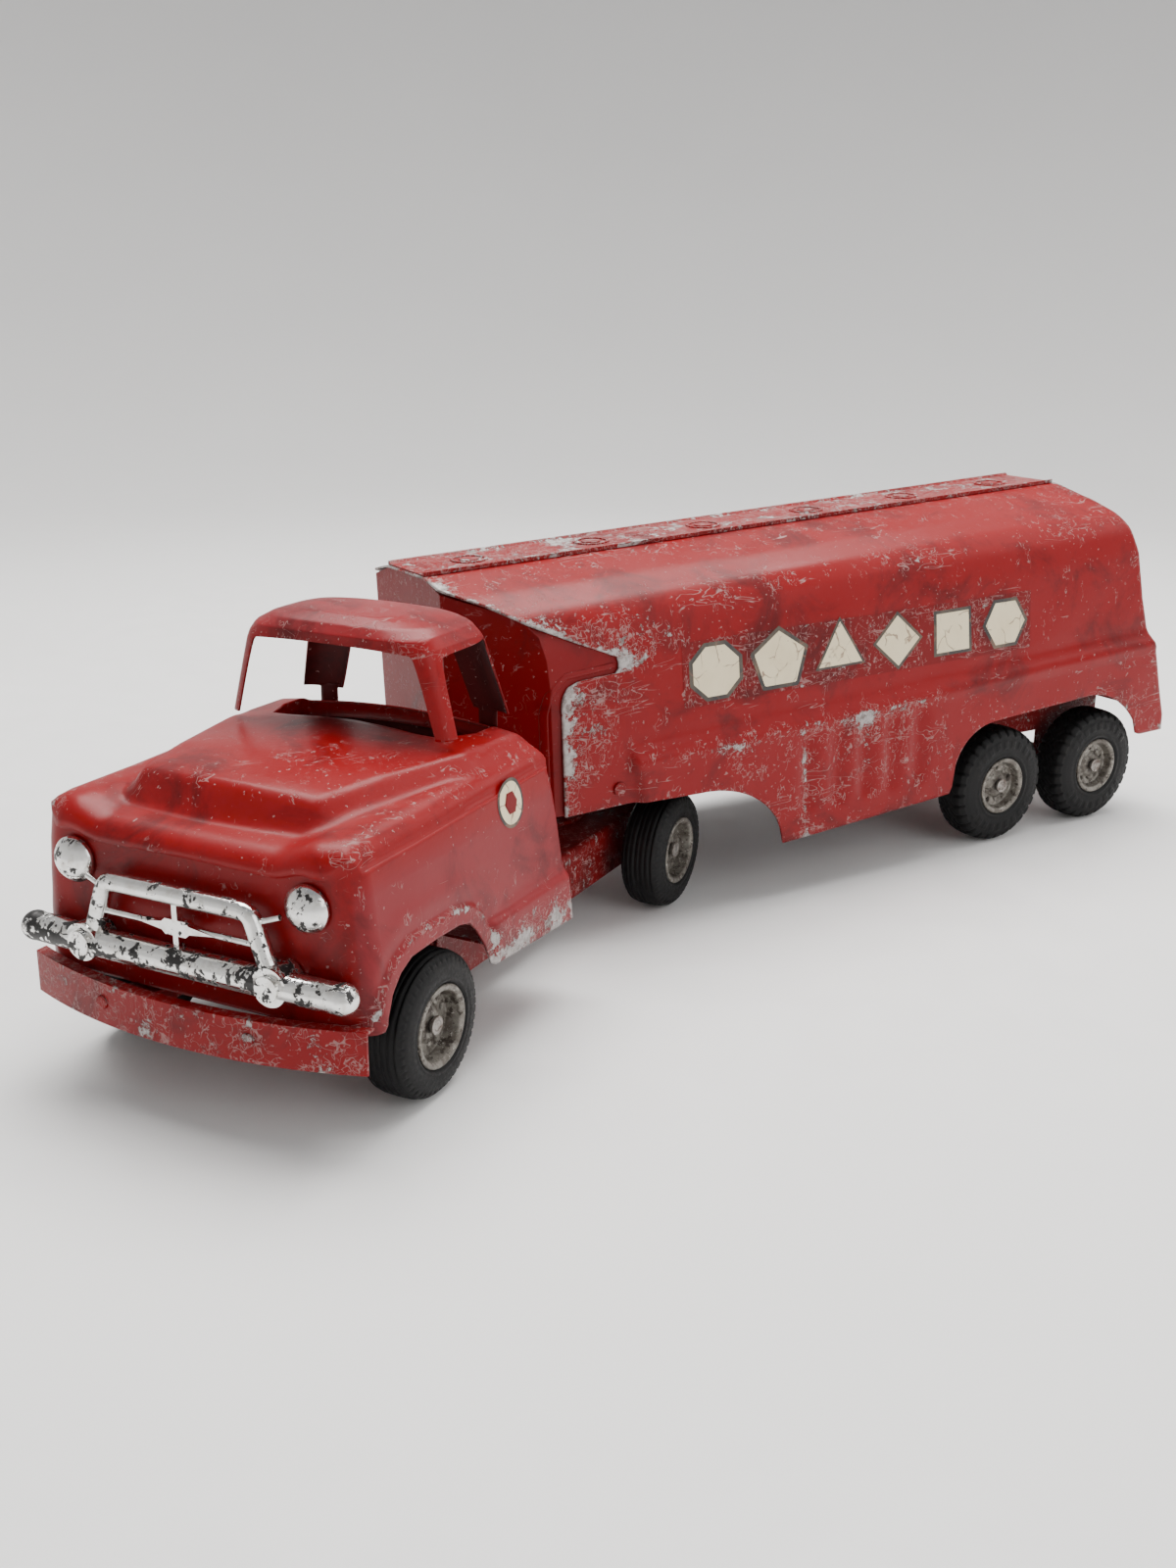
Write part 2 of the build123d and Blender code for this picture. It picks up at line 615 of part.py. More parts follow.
STEP_X = -14.0
TAIL_LOW_X = -369.0
with BuildPart() as tank_shell:
    add(extrude_section(tank_section(0), TAIL_LOW_X - 6.0, TANK_FRONT))
    add(extrude_section(skirt_section(0), TAIL_LOW_X - 6.0, STEP_X))
    add(extrude_section(tank_section(SHEET), TAIL_LOW_X - 8.0, TANK_FRONT + 2.0), mode=Mode.SUBTRACT)
    add(extrude_section(skirt_section(SHEET), TAIL_LOW_X - 8.0, STEP_X - SHEET), mode=Mode.SUBTRACT)
    # side outline: what stays of the sheet, seen from the side
    with BuildSketch(Plane.XZ):
        with BuildLine():
            # front edge, swept back over the nose, with a notch for the nose panel's tongue
            Polyline((TANK_TAIL, 180.0), (TANK_FRONT, 180.0), (TANK_FRONT, 161.0), (46.0, 155.5), (33.0, 147.5),
                     (16.0, 139.0), (-8.0, 128.4), (-8.5, 120.6), (13.0, 121.2), (18.5, 119.5), (21.5, 114.0),
                     (22.5, 92.0), (23.0, 61.6), (-10.0, 61.2), (-46.0, 58.8))
            # clearance over the drive wheels
            ThreePointArc((-46.0, 58.8), (-81.5, 44.3), (-96.3, SKIRT_Z - 0.5))
            Polyline((-96.3, SKIRT_Z - 0.5), (-206.5, SKIRT_Z + 1.2), (-208.0, 32.0))
            # long arch over the tandem wheels
            ThreePointArc((-208.0, 32.0), (-217.5, 49.0), (-236.0, 57.8))
            Line((-236.0, 57.8), (-306.0, 58.8))
            ThreePointArc((-306.0, 58.8), (-332.0, 49.5), (-343.5, 29.6))
            Polyline((-343.5, 29.6), (-362.0, 28.2), (-369.0, 33.0), (TAIL_LOW_X, 37.0), (-358.0, 77.0),
                     (-352.5, 90.0), (-348.5, 106.0), (-345.5, 130.0), (-340.0, 146.0), (-331.5, 159.5),
                     (TANK_TAIL, 180.0))
        make_face()
    extrude(amount=90.0, both=True, mode=Mode.INTERSECT)
    # screw holes at the nose and the two pairs of plain holes over the tandem wheels
    with BuildSketch(Plane.XZ):
        with Locations((-5.5, 69.0)):
            Circle(1.6)
        with Locations((-240.0, 65.3), (-312.0, 65.3)):
            Circle(1.5)
    extrude(amount=90.0, both=True, mode=Mode.SUBTRACT)
save(tank_shell.part, "tank_shell", RAKED)

# ---- catwalk: a strip with raised edges and six round hatches, on top of the shell ----
HATCHES = 6
with BuildPart() as catwalk:
    with BuildSketch(Plane.YZ.offset(TANK_TAIL + 2.0)):
        with BuildLine():
            Polyline(*mirrored([
                (CATWALK_HALF - 0.5, TANK_TOP),
                (CATWALK_HALF - 0.5, TANK_TOP + 1.9),
                (CATWALK_HALF - 1.5, TANK_TOP + 1.9),
                (CATWALK_HALF - 2.6, TANK_TOP + 0.8),
            ]), close=True)
        make_face()
    extrude(amount=TANK_FRONT - TANK_TAIL - 3.0)
    hatch_pitch = (TANK_FRONT - TANK_TAIL) / HATCHES
    with BuildSketch(Plane.XY.offset(TANK_TOP + 0.6)):
        with Locations(((TANK_FRONT + TANK_TAIL) / 2, 0)):
            with GridLocations(hatch_pitch, 1, HATCHES, 1):
                Circle(8.5)
                Circle(7.0, mode=Mode.SUBTRACT)
                Circle(4.5)
    extrude(amount=0.9)
save(catwalk.part, "catwalk", RAKED)


# ---- nose panel: faceted sheet inside the shell's front edge ----
def nose_plan(inset):
    """Plan of the nose as (x, y): a flat front and swept-back cheeks that run on inside the shell."""
    front = TANK_FRONT - 1.0 - inset
    side = SIDE_HALF - SHEET - 0.1 - inset
    return [
        (-24.0, side),
        (18.0, side),
        (26.0 - inset * 0.5, side - 2.0),
        (front, 31.0 - inset * 0.5),
        (front, -31.0 + inset * 0.5),
        (26.0 - inset * 0.5, 2.0 - side),
        (18.0, -side),
        (-24.0, -side),
    ]


with BuildPart() as nose_panel:
    with BuildSketch(Plane.XY.offset(61.6)):
        with BuildLine():
            Polyline(*nose_plan(0), close=True)
        make_face()
    extrude(amount=120.0)
    add(extrude_section(tank_section(SHEET + 0.15), -30.0, TANK_FRONT + 4.0), mode=Mode.INTERSECT)
    with BuildPart(mode=Mode.SUBTRACT):
        with BuildSketch(Plane.XY.offset(50.0)):
            with BuildLine():
                Polyline(*nose_plan(SHEET), close=True)
            make_face()
        extrude(amount=150.0)
        add(extrude_section(tank_section(2 * SHEET + 0.15), -40.0, TANK_FRONT + 4.0), mode=Mode.INTERSECT)
    # below the tongue the cheeks end behind the shell's front edge
    with BuildSketch(Plane.XZ):
        with Locations((-14.0, 85.0)):
            Rectangle(44.0, 60.0)
    extrude(amount=90.0, both=True, mode=Mode.SUBTRACT)
save(nose_panel.part, "nose_panel", RAKED)

# ---- rear panel: flat sheet set just inside the tail, sloping with it ----
with BuildPart() as rear_panel:
    with BuildSketch(Plane.XZ):
        with BuildLine():
            Polyline((-364.5, 40.0), (-354.0, 78.0), (-348.5, 91.0), (-344.5, 106.0), (-341.5, 130.0),
                     (-336.0, 145.5), (-328.0, 159.5), (-327.0, 159.0), (-335.1, 145.0), (-340.5, 129.8),
                     (-343.5, 105.9), (-347.5, 90.6), (-353.0, 77.6), (-363.5, 39.6), close=True)
        make_face()
    extrude(amount=SKIRT_HALF - SHEET - 0.15, both=True)
    with BuildPart(mode=Mode.INTERSECT):
        add(extrude_section(tank_section(SHEET + 0.15), TAIL_LOW_X - 4.0, -320.0))
        add(extrude_section(skirt_section(SHEET + 0.15), TAIL_LOW_X - 4.0, -320.0))
save(rear_panel.part, "rear_panel", RAKED)

# ---- front bolster: the cross plate behind the nose that carries the king pin ----
BOLSTER_Z = 63.5
SCREW_X = -5.2
SCREW_Z = 69.25
BOLSTER_HALF = SIDE_HALF - SHEET - 1.6
with BuildPart() as front_bolster:
    with BuildSketch(Plane.XY.offset(BOLSTER_Z)):
        with Locations((-5.0, 0)):
            Rectangle(40.0, 2 * BOLSTER_HALF)
        Circle(KING_PIN_R, mode=Mode.SUBTRACT)
    extrude(amount=SHEET)
    for side in (1, -1):
        with BuildSketch(Plane.XZ.offset(-side * BOLSTER_HALF)):
            with Locations((SCREW_X, BOLSTER_Z + 6.5)):
                Rectangle(30.0, 13.0)
            with Locations((SCREW_X, SCREW_Z)):
                Circle(1.5, mode=Mode.SUBTRACT)
        extrude(amount=side * SHEET)
save(front_bolster.part, "front_bolster")

CUP_BASE = FRAME_TOP + PLATE_T + 0.3
with BuildPart() as coupling_cup:
    with BuildSketch(Plane.XZ):
        with BuildLine():
            Polyline((KING_PIN_R, CUP_BASE), (18.0, CUP_BASE), (24.0, BOLSTER_Z - SHEET), (30.0, BOLSTER_Z - SHEET),
                     (30.0, BOLSTER_Z), (23.2, BOLSTER_Z), (17.2, CUP_BASE + SHEET), (KING_PIN_R, CUP_BASE + SHEET),
                     close=True)
        make_face()
    revolve(axis=Axis.Z)
save(coupling_cup.part, "coupling_cup")

with BuildPart() as king_pin:
    with BuildSketch(Plane.XY.offset(FRAME_TOP - 8.0)):
        Circle(KING_PIN_R)
    extrude(amount=BOLSTER_Z + SHEET + 1.0 - (FRAME_TOP - 8.0))
    with BuildSketch(Plane.XY.offset(BOLSTER_Z + SHEET)):
        Circle(KING_PIN_R + 3.0)
    extrude(amount=1.6)
save(king_pin.part, "king_pin")

with BuildPart() as king_pin_clip:
    with BuildSketch(Plane.XY.offset(FRAME_TOP - 4.5)):
        Circle(9.0)
        Circle(KING_PIN_R, mode=Mode.SUBTRACT)
    extrude(amount=1.2)
save(king_pin_clip.part, "king_pin_clip")

with BuildPart() as shell_screws:
    for side in (1, -1):
        with BuildSketch(Plane.XZ.offset(-side * (SIDE_HALF + 0.2))):
            with Locations((SCREW_X, SCREW_Z)):
                Circle(3.0)
        extrude(amount=-side * 1.1)
        with BuildSketch(Plane.XZ.offset(-side * (SIDE_HALF + 0.2))):
            with Locations((SCREW_X, SCREW_Z)):
                Circle(1.4)
        extrude(amount=side * 4.5)
save(shell_screws.part, "shell_screws")

# ---- tandem bracket: an inverted channel under the tank that holds both axles ----
BRACKET_HALF = 40.0
BRACKET_TOP = 68.0
with BuildPart() as tandem_bracket:
    with BuildSketch(Plane.XZ):
        with BuildLine():
            Polyline((-352.0, BRACKET_TOP), (-352.0, 46.0), (-338.0, 22.0), (-236.0, 22.0), (-222.0, 46.0),
                     (-222.0, BRACKET_TOP), close=True)
        make_face()
        with Locations((-286.4, 34.0)):
            Rectangle(36.0, 26.0, mode=Mode.SUBTRACT)
    extrude(amount=BRACKET_HALF, both=True)
    with BuildSketch(Plane.XZ):
        with Locations((-287.0, BRACKET_TOP - SHEET - 30.0)):
            Rectangle(140.0, 60.0)
    extrude(amount=BRACKET_HALF - SHEET, both=True, mode=Mode.SUBTRACT)
    with BuildSketch(Plane.XZ):
        with Locations(*[(axle_x, TANDEM_TYRE_R) for axle_x in TANDEM_AXLE_X]):
            Circle(AXLE_R)
    extrude(amount=BRACKET_HALF + 1.0, both=True, mode=Mode.SUBTRACT)
save(tandem_bracket.part, "tandem_bracket")

# ---- two cross straps tie the tandem bracket to the skirt ----
STRAP_HALF = SKIRT_HALF - SHEET - 0.15
with BuildPart() as cross_straps:
    for strap_x in (-232.0, -345.0):
        with BuildSketch(Plane.YZ.offset(strap_x - 4.0)):
            with BuildLine():
                Polyline(*mirrored([
                    (BRACKET_HALF - 0.0, BRACKET_TOP),
                    (STRAP_HALF - SHEET, BRACKET_TOP + 8.0),
                    (STRAP_HALF - SHEET, BRACKET_TOP + 4.0),
                    (STRAP_HALF, BRACKET_TOP + 4.0),
                    (STRAP_HALF, BRACKET_TOP + 9.2),
                    (STRAP_HALF - SHEET, BRACKET_TOP + 9.2),
                    (BRACKET_HALF - 0.2, BRACKET_TOP + 1.2),
                ]), close=True)
            make_face()
        extrude(amount=8.0)
save(cross_straps.part, "cross_straps")
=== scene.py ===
import math

import bmesh
import bpy
import numpy as np
from mathutils import Matrix, Vector


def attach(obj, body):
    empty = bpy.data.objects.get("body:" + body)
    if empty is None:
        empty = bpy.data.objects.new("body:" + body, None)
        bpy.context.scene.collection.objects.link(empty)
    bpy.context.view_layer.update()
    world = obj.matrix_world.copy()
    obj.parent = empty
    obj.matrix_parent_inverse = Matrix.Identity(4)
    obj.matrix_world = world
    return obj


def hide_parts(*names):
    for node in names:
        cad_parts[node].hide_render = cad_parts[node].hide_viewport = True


bl_info = {
    "name": "Pressed-steel toy tanker",
    "version": (1, 0, 0),
    "blender": (4, 5, 0),
    "location": "View3D > Sidebar > Tanker",
    "description": "Finishes the packed toy tanker: worn enamel, plating, tyres, wheels, markings and a studio",
    "category": "Object",
}

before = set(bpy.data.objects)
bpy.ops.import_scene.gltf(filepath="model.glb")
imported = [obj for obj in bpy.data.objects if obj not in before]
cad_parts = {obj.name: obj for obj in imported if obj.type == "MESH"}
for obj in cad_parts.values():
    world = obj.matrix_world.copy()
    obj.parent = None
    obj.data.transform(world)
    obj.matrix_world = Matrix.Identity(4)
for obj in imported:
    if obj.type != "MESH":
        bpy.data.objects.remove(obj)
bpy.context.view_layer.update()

MM = 0.001
TRACTOR_YAW = math.radians(30.5)
TANK_RAKE = math.radians(2.7)
RAKE_HEIGHT = 62.0
# name, x of the axle, distance of the outer face from the middle, tyre radius, rim radius, on the tractor
# or not
WHEELS = (
    ("front", 196.6, 72.4, 27.6, 15.6, True),
    ("drive", -15.4, 72.4, 27.6, 15.6, True),
    ("tandem_front", -250.0, 68.4, 30.7, 14.8, False),
    ("tandem_rear", -322.9, 68.4, 30.7, 14.8, False),
)
TYRE_WIDTH = 19.5
SIDES = (("left", 1.0), ("right", -1.0))
SHEET = 0.9
TANK_HALF = 69.1
FLAT_CROWN_HALF = 18.0
CAB_NOSE = 242.2
CAB_LOW = 42.0
CAB_SHOULDER = 100.0
NOSE_START = 225.0
ROOF_CROWN = 162.2
WINDOW_HEAD = 152.6


# ---------------------------------------------------------------- placing

def turned(points):
    """Points of the straight tractor in mm, turned about the king pin's axis into the row frame, in
    metres."""
    c, s = math.cos(TRACTOR_YAW), math.sin(TRACTOR_YAW)
    x, y, z = points[..., 0], points[..., 1], points[..., 2]
    return np.stack([c * x - s * y, s * x + c * y, z], -1) * MM


def raked(points):
    """Points of the level tank in mm, tipped nose-down about the king pin's height into the row frame, in
    metres."""
    c, s = math.cos(TANK_RAKE), math.sin(TANK_RAKE)
    x, y, z = points[..., 0], points[..., 1], points[..., 2] - RAKE_HEIGHT
    return np.stack([c * x + s * z, y, RAKE_HEIGHT - s * x + c * z], -1) * MM


def level(points):
    """Points in mm given straight in the row frame, in metres."""
    return points * MM


def unraked(points):
    """The opposite of raked: row frame in metres to the level tank in mm."""
    c, s = math.cos(TANK_RAKE), math.sin(TANK_RAKE)
    x, y, z = points[..., 0] / MM, points[..., 1] / MM, points[..., 2] / MM - RAKE_HEIGHT
    return np.stack([c * x - s * z, y, RAKE_HEIGHT + s * x + c * z], -1)


def unturned(points):
    """The opposite of turned: row frame in metres to the straight tractor in mm."""
    c, s = math.cos(TRACTOR_YAW), math.sin(TRACTOR_YAW)
    x, y, z = points[..., 0] / MM, points[..., 1] / MM, points[..., 2] / MM
    return np.stack([c * x + s * y, -s * x + c * y, z], -1)


def ease(value):
    """Smooth step: 0 below 0, 1 above 1, with level ends."""
    t = np.clip(value, 0.0, 1.0)
    return t * t * (3.0 - 2.0 * t)


def bump(distance, width):
    """A bell that is 1 at no distance and dies away over width."""
    return np.exp(-((distance / width) ** 2))


def rounded(points, radius, step=0.5, closed=False):
    """A polyline resampled every step and averaged over radius, so its corners round off."""
    pts = np.asarray(points, float)
    if closed:
        pts = np.vstack([pts, pts[:1]])
    lengths = np.concatenate([[0], np.cumsum(np.linalg.norm(np.diff(pts, axis=0), axis=1))])
    count = int(lengths[-1] / step) + 1
    at = np.linspace(0, lengths[-1], count)
    line = np.stack([np.interp(at, lengths, pts[:, i]) for i in range(pts.shape[1])], 1)
    reach = max(1, int(radius / step))
    weights = np.hanning(2 * reach + 3)[1:-1]
    weights /= weights.sum()
    if closed:
        line = line[:-1]
        padded = np.vstack([line[-reach:], line, line[:reach]])
    else:
        before = 2 * line[0] - line[1:reach + 1][::-1]
        after = 2 * line[-1] - line[-reach - 1:-1][::-1]
        padded = np.vstack([before, line, after])
    return np.stack([np.convolve(padded[:, i], weights, "valid") for i in range(line.shape[1])], 1)


def distance_to(points, line):
    """Shortest distance in the plane from each point to a polyline, one run at a time."""
    best = np.full(points.shape[:-1], 1e9)
    for a, b in zip(line[:-1], line[1:]):
        a, b = np.asarray(a, float), np.asarray(b, float)
        run = b - a
        t = np.clip(((points - a) @ run) / (run @ run), 0, 1)
        best = np.minimum(best, np.linalg.norm(points - a - t[..., None] * run, axis=-1))
    return best


# ---------------------------------------------------------------- meshes

def grid_quads(rows, columns, wrap_columns=False, wrap_rows=False, flip=False):
    """Quads of a rows x columns grid of points, joined across its ends where wrapped."""
    r = np.arange(rows if wrap_rows else rows - 1)
    c = np.arange(columns if wrap_columns else columns - 1)
    r, c = np.meshgrid(r, c, indexing="ij")
    r2, c2 = (r + 1) % rows, (c + 1) % columns
    quads = np.stack([r * columns + c, r * columns + c2, r2 * columns + c2, r2 * columns + c], -1).reshape(-1,
                                                                                                           4)
    return quads[:, ::-1] if flip else quads


def make_piece(name, points, quads, material, body, nodes=(), wear=0.2, fade=0.0):
    """A mesh object from whole arrays. wear and fade are one number or one per point, and steer the worn
    finishes."""
    points = np.asarray(points, float).reshape(-1, 3)
    mesh = bpy.data.meshes.new(name)
    mesh.from_pydata(points.tolist(), [], quads if isinstance(quads, list) else np.asarray(quads).tolist())
    mesh.validate()
    mark(mesh, wear, fade)
    mesh.shade_smooth()
    piece = bpy.data.objects.new(name, mesh)
    bpy.context.scene.collection.objects.link(piece)
    mesh.materials.append(material)
    if nodes:
        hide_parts(*nodes)
    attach(piece, body)
    return piece


def mark(mesh, wear, fade):
    """Stores how worn and how faded each point is."""
    for title, value in (("wear", wear), ("fade", fade)):
        layer = mesh.attributes.new(title, "FLOAT", "POINT")
        values = np.broadcast_to(np.ravel(value), (len(mesh.vertices),))
        layer.data.foreach_set("value", values.astype(np.float32))


def add_thickness(piece, thickness, offset=-1.0, inside=None):
    """Gives a single skin its wall, with another finish on its inside if one is given."""
    wall = piece.modifiers.new("wall", "SOLIDIFY")
    if inside:
        piece.data.materials.append(inside)
        wall.material_offset = 1
    wall.thickness, wall.offset, wall.use_even_offset = thickness, offset, False
    wall.use_rim = True


def refine(node, body, material, width=0.25, segments=2, wear=0.25, fade=0.0, angle=28):
    """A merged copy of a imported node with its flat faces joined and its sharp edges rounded, which
    replaces it."""
    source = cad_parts[node]
    shell = bmesh.new()
    shell.from_mesh(source.data)
    bmesh.ops.remove_doubles(shell, verts=shell.verts, dist=2e-6)
    bmesh.ops.dissolve_limit(shell, angle_limit=math.radians(0.6), verts=shell.verts, edges=shell.edges)
    mesh = bpy.data.meshes.new(node + "_piece")
    shell.to_mesh(mesh)
    shell.free()
    at = np.empty(len(mesh.vertices) * 3)
    mesh.vertices.foreach_get("co", at)
    at = at.reshape(-1, 3)
    mark(mesh, wear(at) if callable(wear) else wear, fade)
    mesh.shade_smooth()
    mesh.set_sharp_from_angle(angle=math.radians(angle))
    piece = bpy.data.objects.new(node + "_piece", mesh)
    bpy.context.scene.collection.objects.link(piece)
    mesh.materials.clear()
    mesh.materials.append(material)
    edge = piece.modifiers.new("edge", "BEVEL")
    edge.width, edge.segments = width * MM, segments
    edge.limit_method, edge.angle_limit = "ANGLE", math.radians(angle)
    edge.use_clamp_overlap, edge.harden_normals = True, True
    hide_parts(node)
    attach(piece, body)
    return piece


# ---------------------------------------------------------------- shader groups

class Graph:
    """Short names for building nodes and links in one tree."""

    def __init__(self, tree):
        self.tree = tree

    def add(self, kind, inputs=None, **settings):
        node = self.tree.nodes.new(kind)
        for key, value in settings.items():
            setattr(node, key, value)
        for key, value in (inputs or {}).items():
            self.feed(node.inputs[key], value)
        return node

    def feed(self, socket, value):
        if isinstance(value, bpy.types.NodeSocket):
            self.tree.links.new(value, socket)
        elif isinstance(value, bpy.types.Node):
            self.tree.links.new(value.outputs[0], socket)
        else:
            socket.default_value = value

    def math(self, operation, a, b=0.0, c=0.0, clamp=False):
        node = self.add("ShaderNodeMath", operation=operation, use_clamp=clamp)
        for socket, value in zip(node.inputs, (a, b, c)):
            self.feed(socket, value)
        return node.outputs[0]

    def times(self, a, b, clamp=False):
        return self.math("MULTIPLY", a, b, clamp=clamp)

    def plus(self, a, b, clamp=False):
        return self.math("ADD", a, b, clamp=clamp)

    def ramp(self, value, low, high, to_low=0.0, to_high=1.0):
        node = self.add("ShaderNodeMapRange", {"Value": value, "From Min": low, "From Max": high,
                                               "To Min": to_low, "To Max": to_high},
                                               interpolation_type="SMOOTHSTEP")
        return node.outputs[0]

    def mix(self, factor, a, b):
        node = self.add("ShaderNodeMix", data_type="RGBA")
        self.feed(node.inputs[0], factor)
        self.feed(node.inputs[6], a)
        self.feed(node.inputs[7], b)
        return node.outputs[2]

    def noise(self, scale, detail=3.0, rough=0.55, where=None, distort=0.0):
        inputs = {"Scale": scale, "Detail": detail, "Roughness": rough, "Distortion": distort}
        if where is not None:
            inputs["Vector"] = where
        return self.add("ShaderNodeTexNoise", inputs).outputs["Fac"]


def new_group(name, inputs, outputs):
    """An empty shader group with named sockets, each given as (name, kind, default)."""
    group = bpy.data.node_groups.new(name, "ShaderNodeTree")
    for title, kind, default in inputs:
        socket = group.interface.new_socket(name=title, in_out="INPUT", socket_type="NodeSocket" + kind)
        socket.default_value = default
    for title, kind in outputs:
        group.interface.new_socket(name=title, in_out="OUTPUT", socket_type="NodeSocket" + kind)
    graph = Graph(group)
    return group, graph, graph.add("NodeGroupInput"), graph.add("NodeGroupOutput")


def object_place(graph):
    """Object coordinates."""
    return graph.add("ShaderNodeTexCoord").outputs["Object"]


def stored(graph, title):
    """A value kept on the mesh's points."""
    return graph.add("ShaderNodeAttribute", attribute_name=title, attribute_type="GEOMETRY").outputs["Fac"]


def worn_paint_group():
    """Enamel with fading, grime, hair scratches, pin chips and bare patches, driven by the stored wear and
    fade."""
    group, g, start, end = new_group(
        "Worn paint",
        [("Paint", "Color", (0.5, 0.02, 0.03, 1)), ("Faded", "Color", (0.4, 0.08, 0.09, 1)),
         ("Deep", "Color", (0.16, 0.01, 0.015, 1)), ("Metal", "Color", (0.3, 0.28, 0.27, 1)),
         ("Wear", "Float", 1.0), ("Scratches", "Float", 1.0), ("Gloss", "Float", 0.32)],
        [("Color", "Color"), ("Roughness", "Float"), ("Metallic", "Float"), ("Height", "Float")])
    where = object_place(g)
    wear = stored(g, "wear")
    fade = stored(g, "fade")
    wear = g.times(wear, start.outputs["Wear"])
    broad = g.noise(14.0, 3.0, 0.6, where)
    middle = g.noise(70.0, 5.0, 0.65, where, 0.4)
    fine = g.noise(420.0, 4.0, 0.7, where, 0.3)
    # colour of the sound paint: faded and deep clouds with a fine mottle
    faded = g.ramp(g.plus(fade, g.math("MULTIPLY_ADD", broad, 0.9, -0.45)), 0.15, 0.95)
    tone = g.mix(faded, start.outputs["Paint"], start.outputs["Faded"])
    tone = g.mix(g.ramp(g.noise(26.0, 6.0, 0.7, where, 0.8), 0.48, 0.72, 0.0, 0.70), tone,
                 start.outputs["Deep"])
    tone = g.mix(g.ramp(fine, 0.35, 0.75, 0.0, 0.18), tone, start.outputs["Faded"])
    grime = g.ramp(g.noise(190.0, 6.0, 0.75, where, 1.2), 0.60, 0.72, 0.0, 0.55)
    tone = g.mix(g.times(grime, g.ramp(wear, 0.0, 0.8, 0.25, 1.0)), tone, (0.045, 0.018, 0.016, 1))
    # hair scratches: level lines of stretched noise, broken up by a second noise
    marks = None
    for scale, stretch, limit in ((190.0, (1.0, 1.0, 1.0), 0.022), (150.0, (0.35, 1.0, 1.5), 0.020),
                                  (330.0, (1.3, 1.0, 0.6), 0.030)):
        lean = (0.2, 0.3 * scale / 100, 0.1)
        spread = g.add("ShaderNodeMapping", {"Vector": where, "Scale": stretch, "Rotation": lean})
        wave = g.noise(scale, 1.5, 0.5, spread, 0.9)
        hair = g.ramp(g.math("ABSOLUTE", g.math("SUBTRACT", wave, 0.5)), 0.0, limit, 1.0, 0.0)
        gate = g.noise(scale * 0.42, 2.0, 0.6, spread, 0.2)
        gate = g.ramp(g.plus(gate, g.times(wear, 0.30)), 0.66, 0.72)
        line = g.times(hair, gate)
        marks = line if marks is None else g.math("MAXIMUM", marks, line)
    marks = g.times(g.times(marks, start.outputs["Scratches"]), 0.85, clamp=True)
    # pin chips and bare patches
    pins = g.ramp(g.plus(g.noise(520.0, 2.0, 0.5, where, 0.2), g.times(wear, 0.12)), 0.72, 0.75)
    cloud = g.plus(g.times(middle, 0.55), g.times(g.noise(300.0, 5.0, 0.75, where, 0.7), 0.45))
    loss = g.plus(cloud, g.times(wear, 0.215))
    bare = g.ramp(loss, 0.705, 0.735)
    pale = g.math("MAXIMUM", marks, g.times(pins, 0.75))
    tone = g.mix(pale, tone, (0.33, 0.19, 0.18, 1))
    metal = g.mix(g.ramp(fine, 0.3, 0.7), start.outputs["Metal"], (0.46, 0.43, 0.42, 1))
    metal = g.mix(g.ramp(g.noise(150.0, 4.0, 0.7, where), 0.52, 0.66, 0.0, 0.7), metal,
                  (0.10, 0.075, 0.065, 1))
    rim = g.math("SUBTRACT", g.ramp(loss, 0.69, 0.715), bare, clamp=True)
    tone = g.mix(g.times(rim, 0.6), tone, start.outputs["Deep"])
    tone = g.mix(bare, tone, metal)
    g.feed(end.inputs["Color"], tone)
    rough = g.plus(start.outputs["Gloss"], g.times(g.math("MAXIMUM", bare, pale), 0.22))
    rough = g.plus(rough, g.ramp(broad, 0.3, 0.7, 0.0, 0.14), clamp=True)
    g.feed(end.inputs["Roughness"], rough)
    g.feed(end.inputs["Metallic"], g.times(bare, 0.45))
    height = g.math("SUBTRACT", g.times(fine, 0.12), g.times(g.math("MAXIMUM", bare, pale), 0.5))
    g.feed(end.inputs["Height"], g.plus(height, g.times(middle, 0.35)))
    return group


def worn_plating_group():
    """Bright plating that has flaked to black in patches, with haze and fine pits."""
    group, g, start, end = new_group(
        "Worn plating",
        [("Plating", "Color", (0.82, 0.82, 0.80, 1)), ("Loss", "Float", 0.5)],
        [("Color", "Color"), ("Roughness", "Float"), ("Metallic", "Float"), ("Height", "Float")])
    where = object_place(g)
    wear = stored(g, "wear")
    cloud = g.plus(g.times(g.noise(130.0, 4.0, 0.6, where, 0.6), 0.7),
                   g.times(g.noise(520.0, 3.0, 0.6, where, 0.3), 0.3))
    lost = g.ramp(g.plus(cloud, g.times(wear, g.times(start.outputs["Loss"], 0.4))), 0.60, 0.63)
    haze = g.noise(900.0, 3.0, 0.6, where)
    bright = g.mix(g.ramp(g.noise(240.0, 4.0, 0.6, where), 0.45, 0.75, 0.0, 0.6), start.outputs["Plating"],
                   (0.50, 0.46, 0.40, 1))
    g.feed(end.inputs["Color"], g.mix(lost, bright, (0.014, 0.013, 0.013, 1)))
    g.feed(end.inputs["Roughness"], g.plus(g.ramp(haze, 0.3, 0.8, 0.10, 0.26), g.times(lost, 0.28)))
    g.feed(end.inputs["Metallic"], g.math("SUBTRACT", 1.0, g.times(lost, 0.85)))
    g.feed(end.inputs["Height"], g.math("SUBTRACT", g.times(haze, 0.15), lost))
    return group


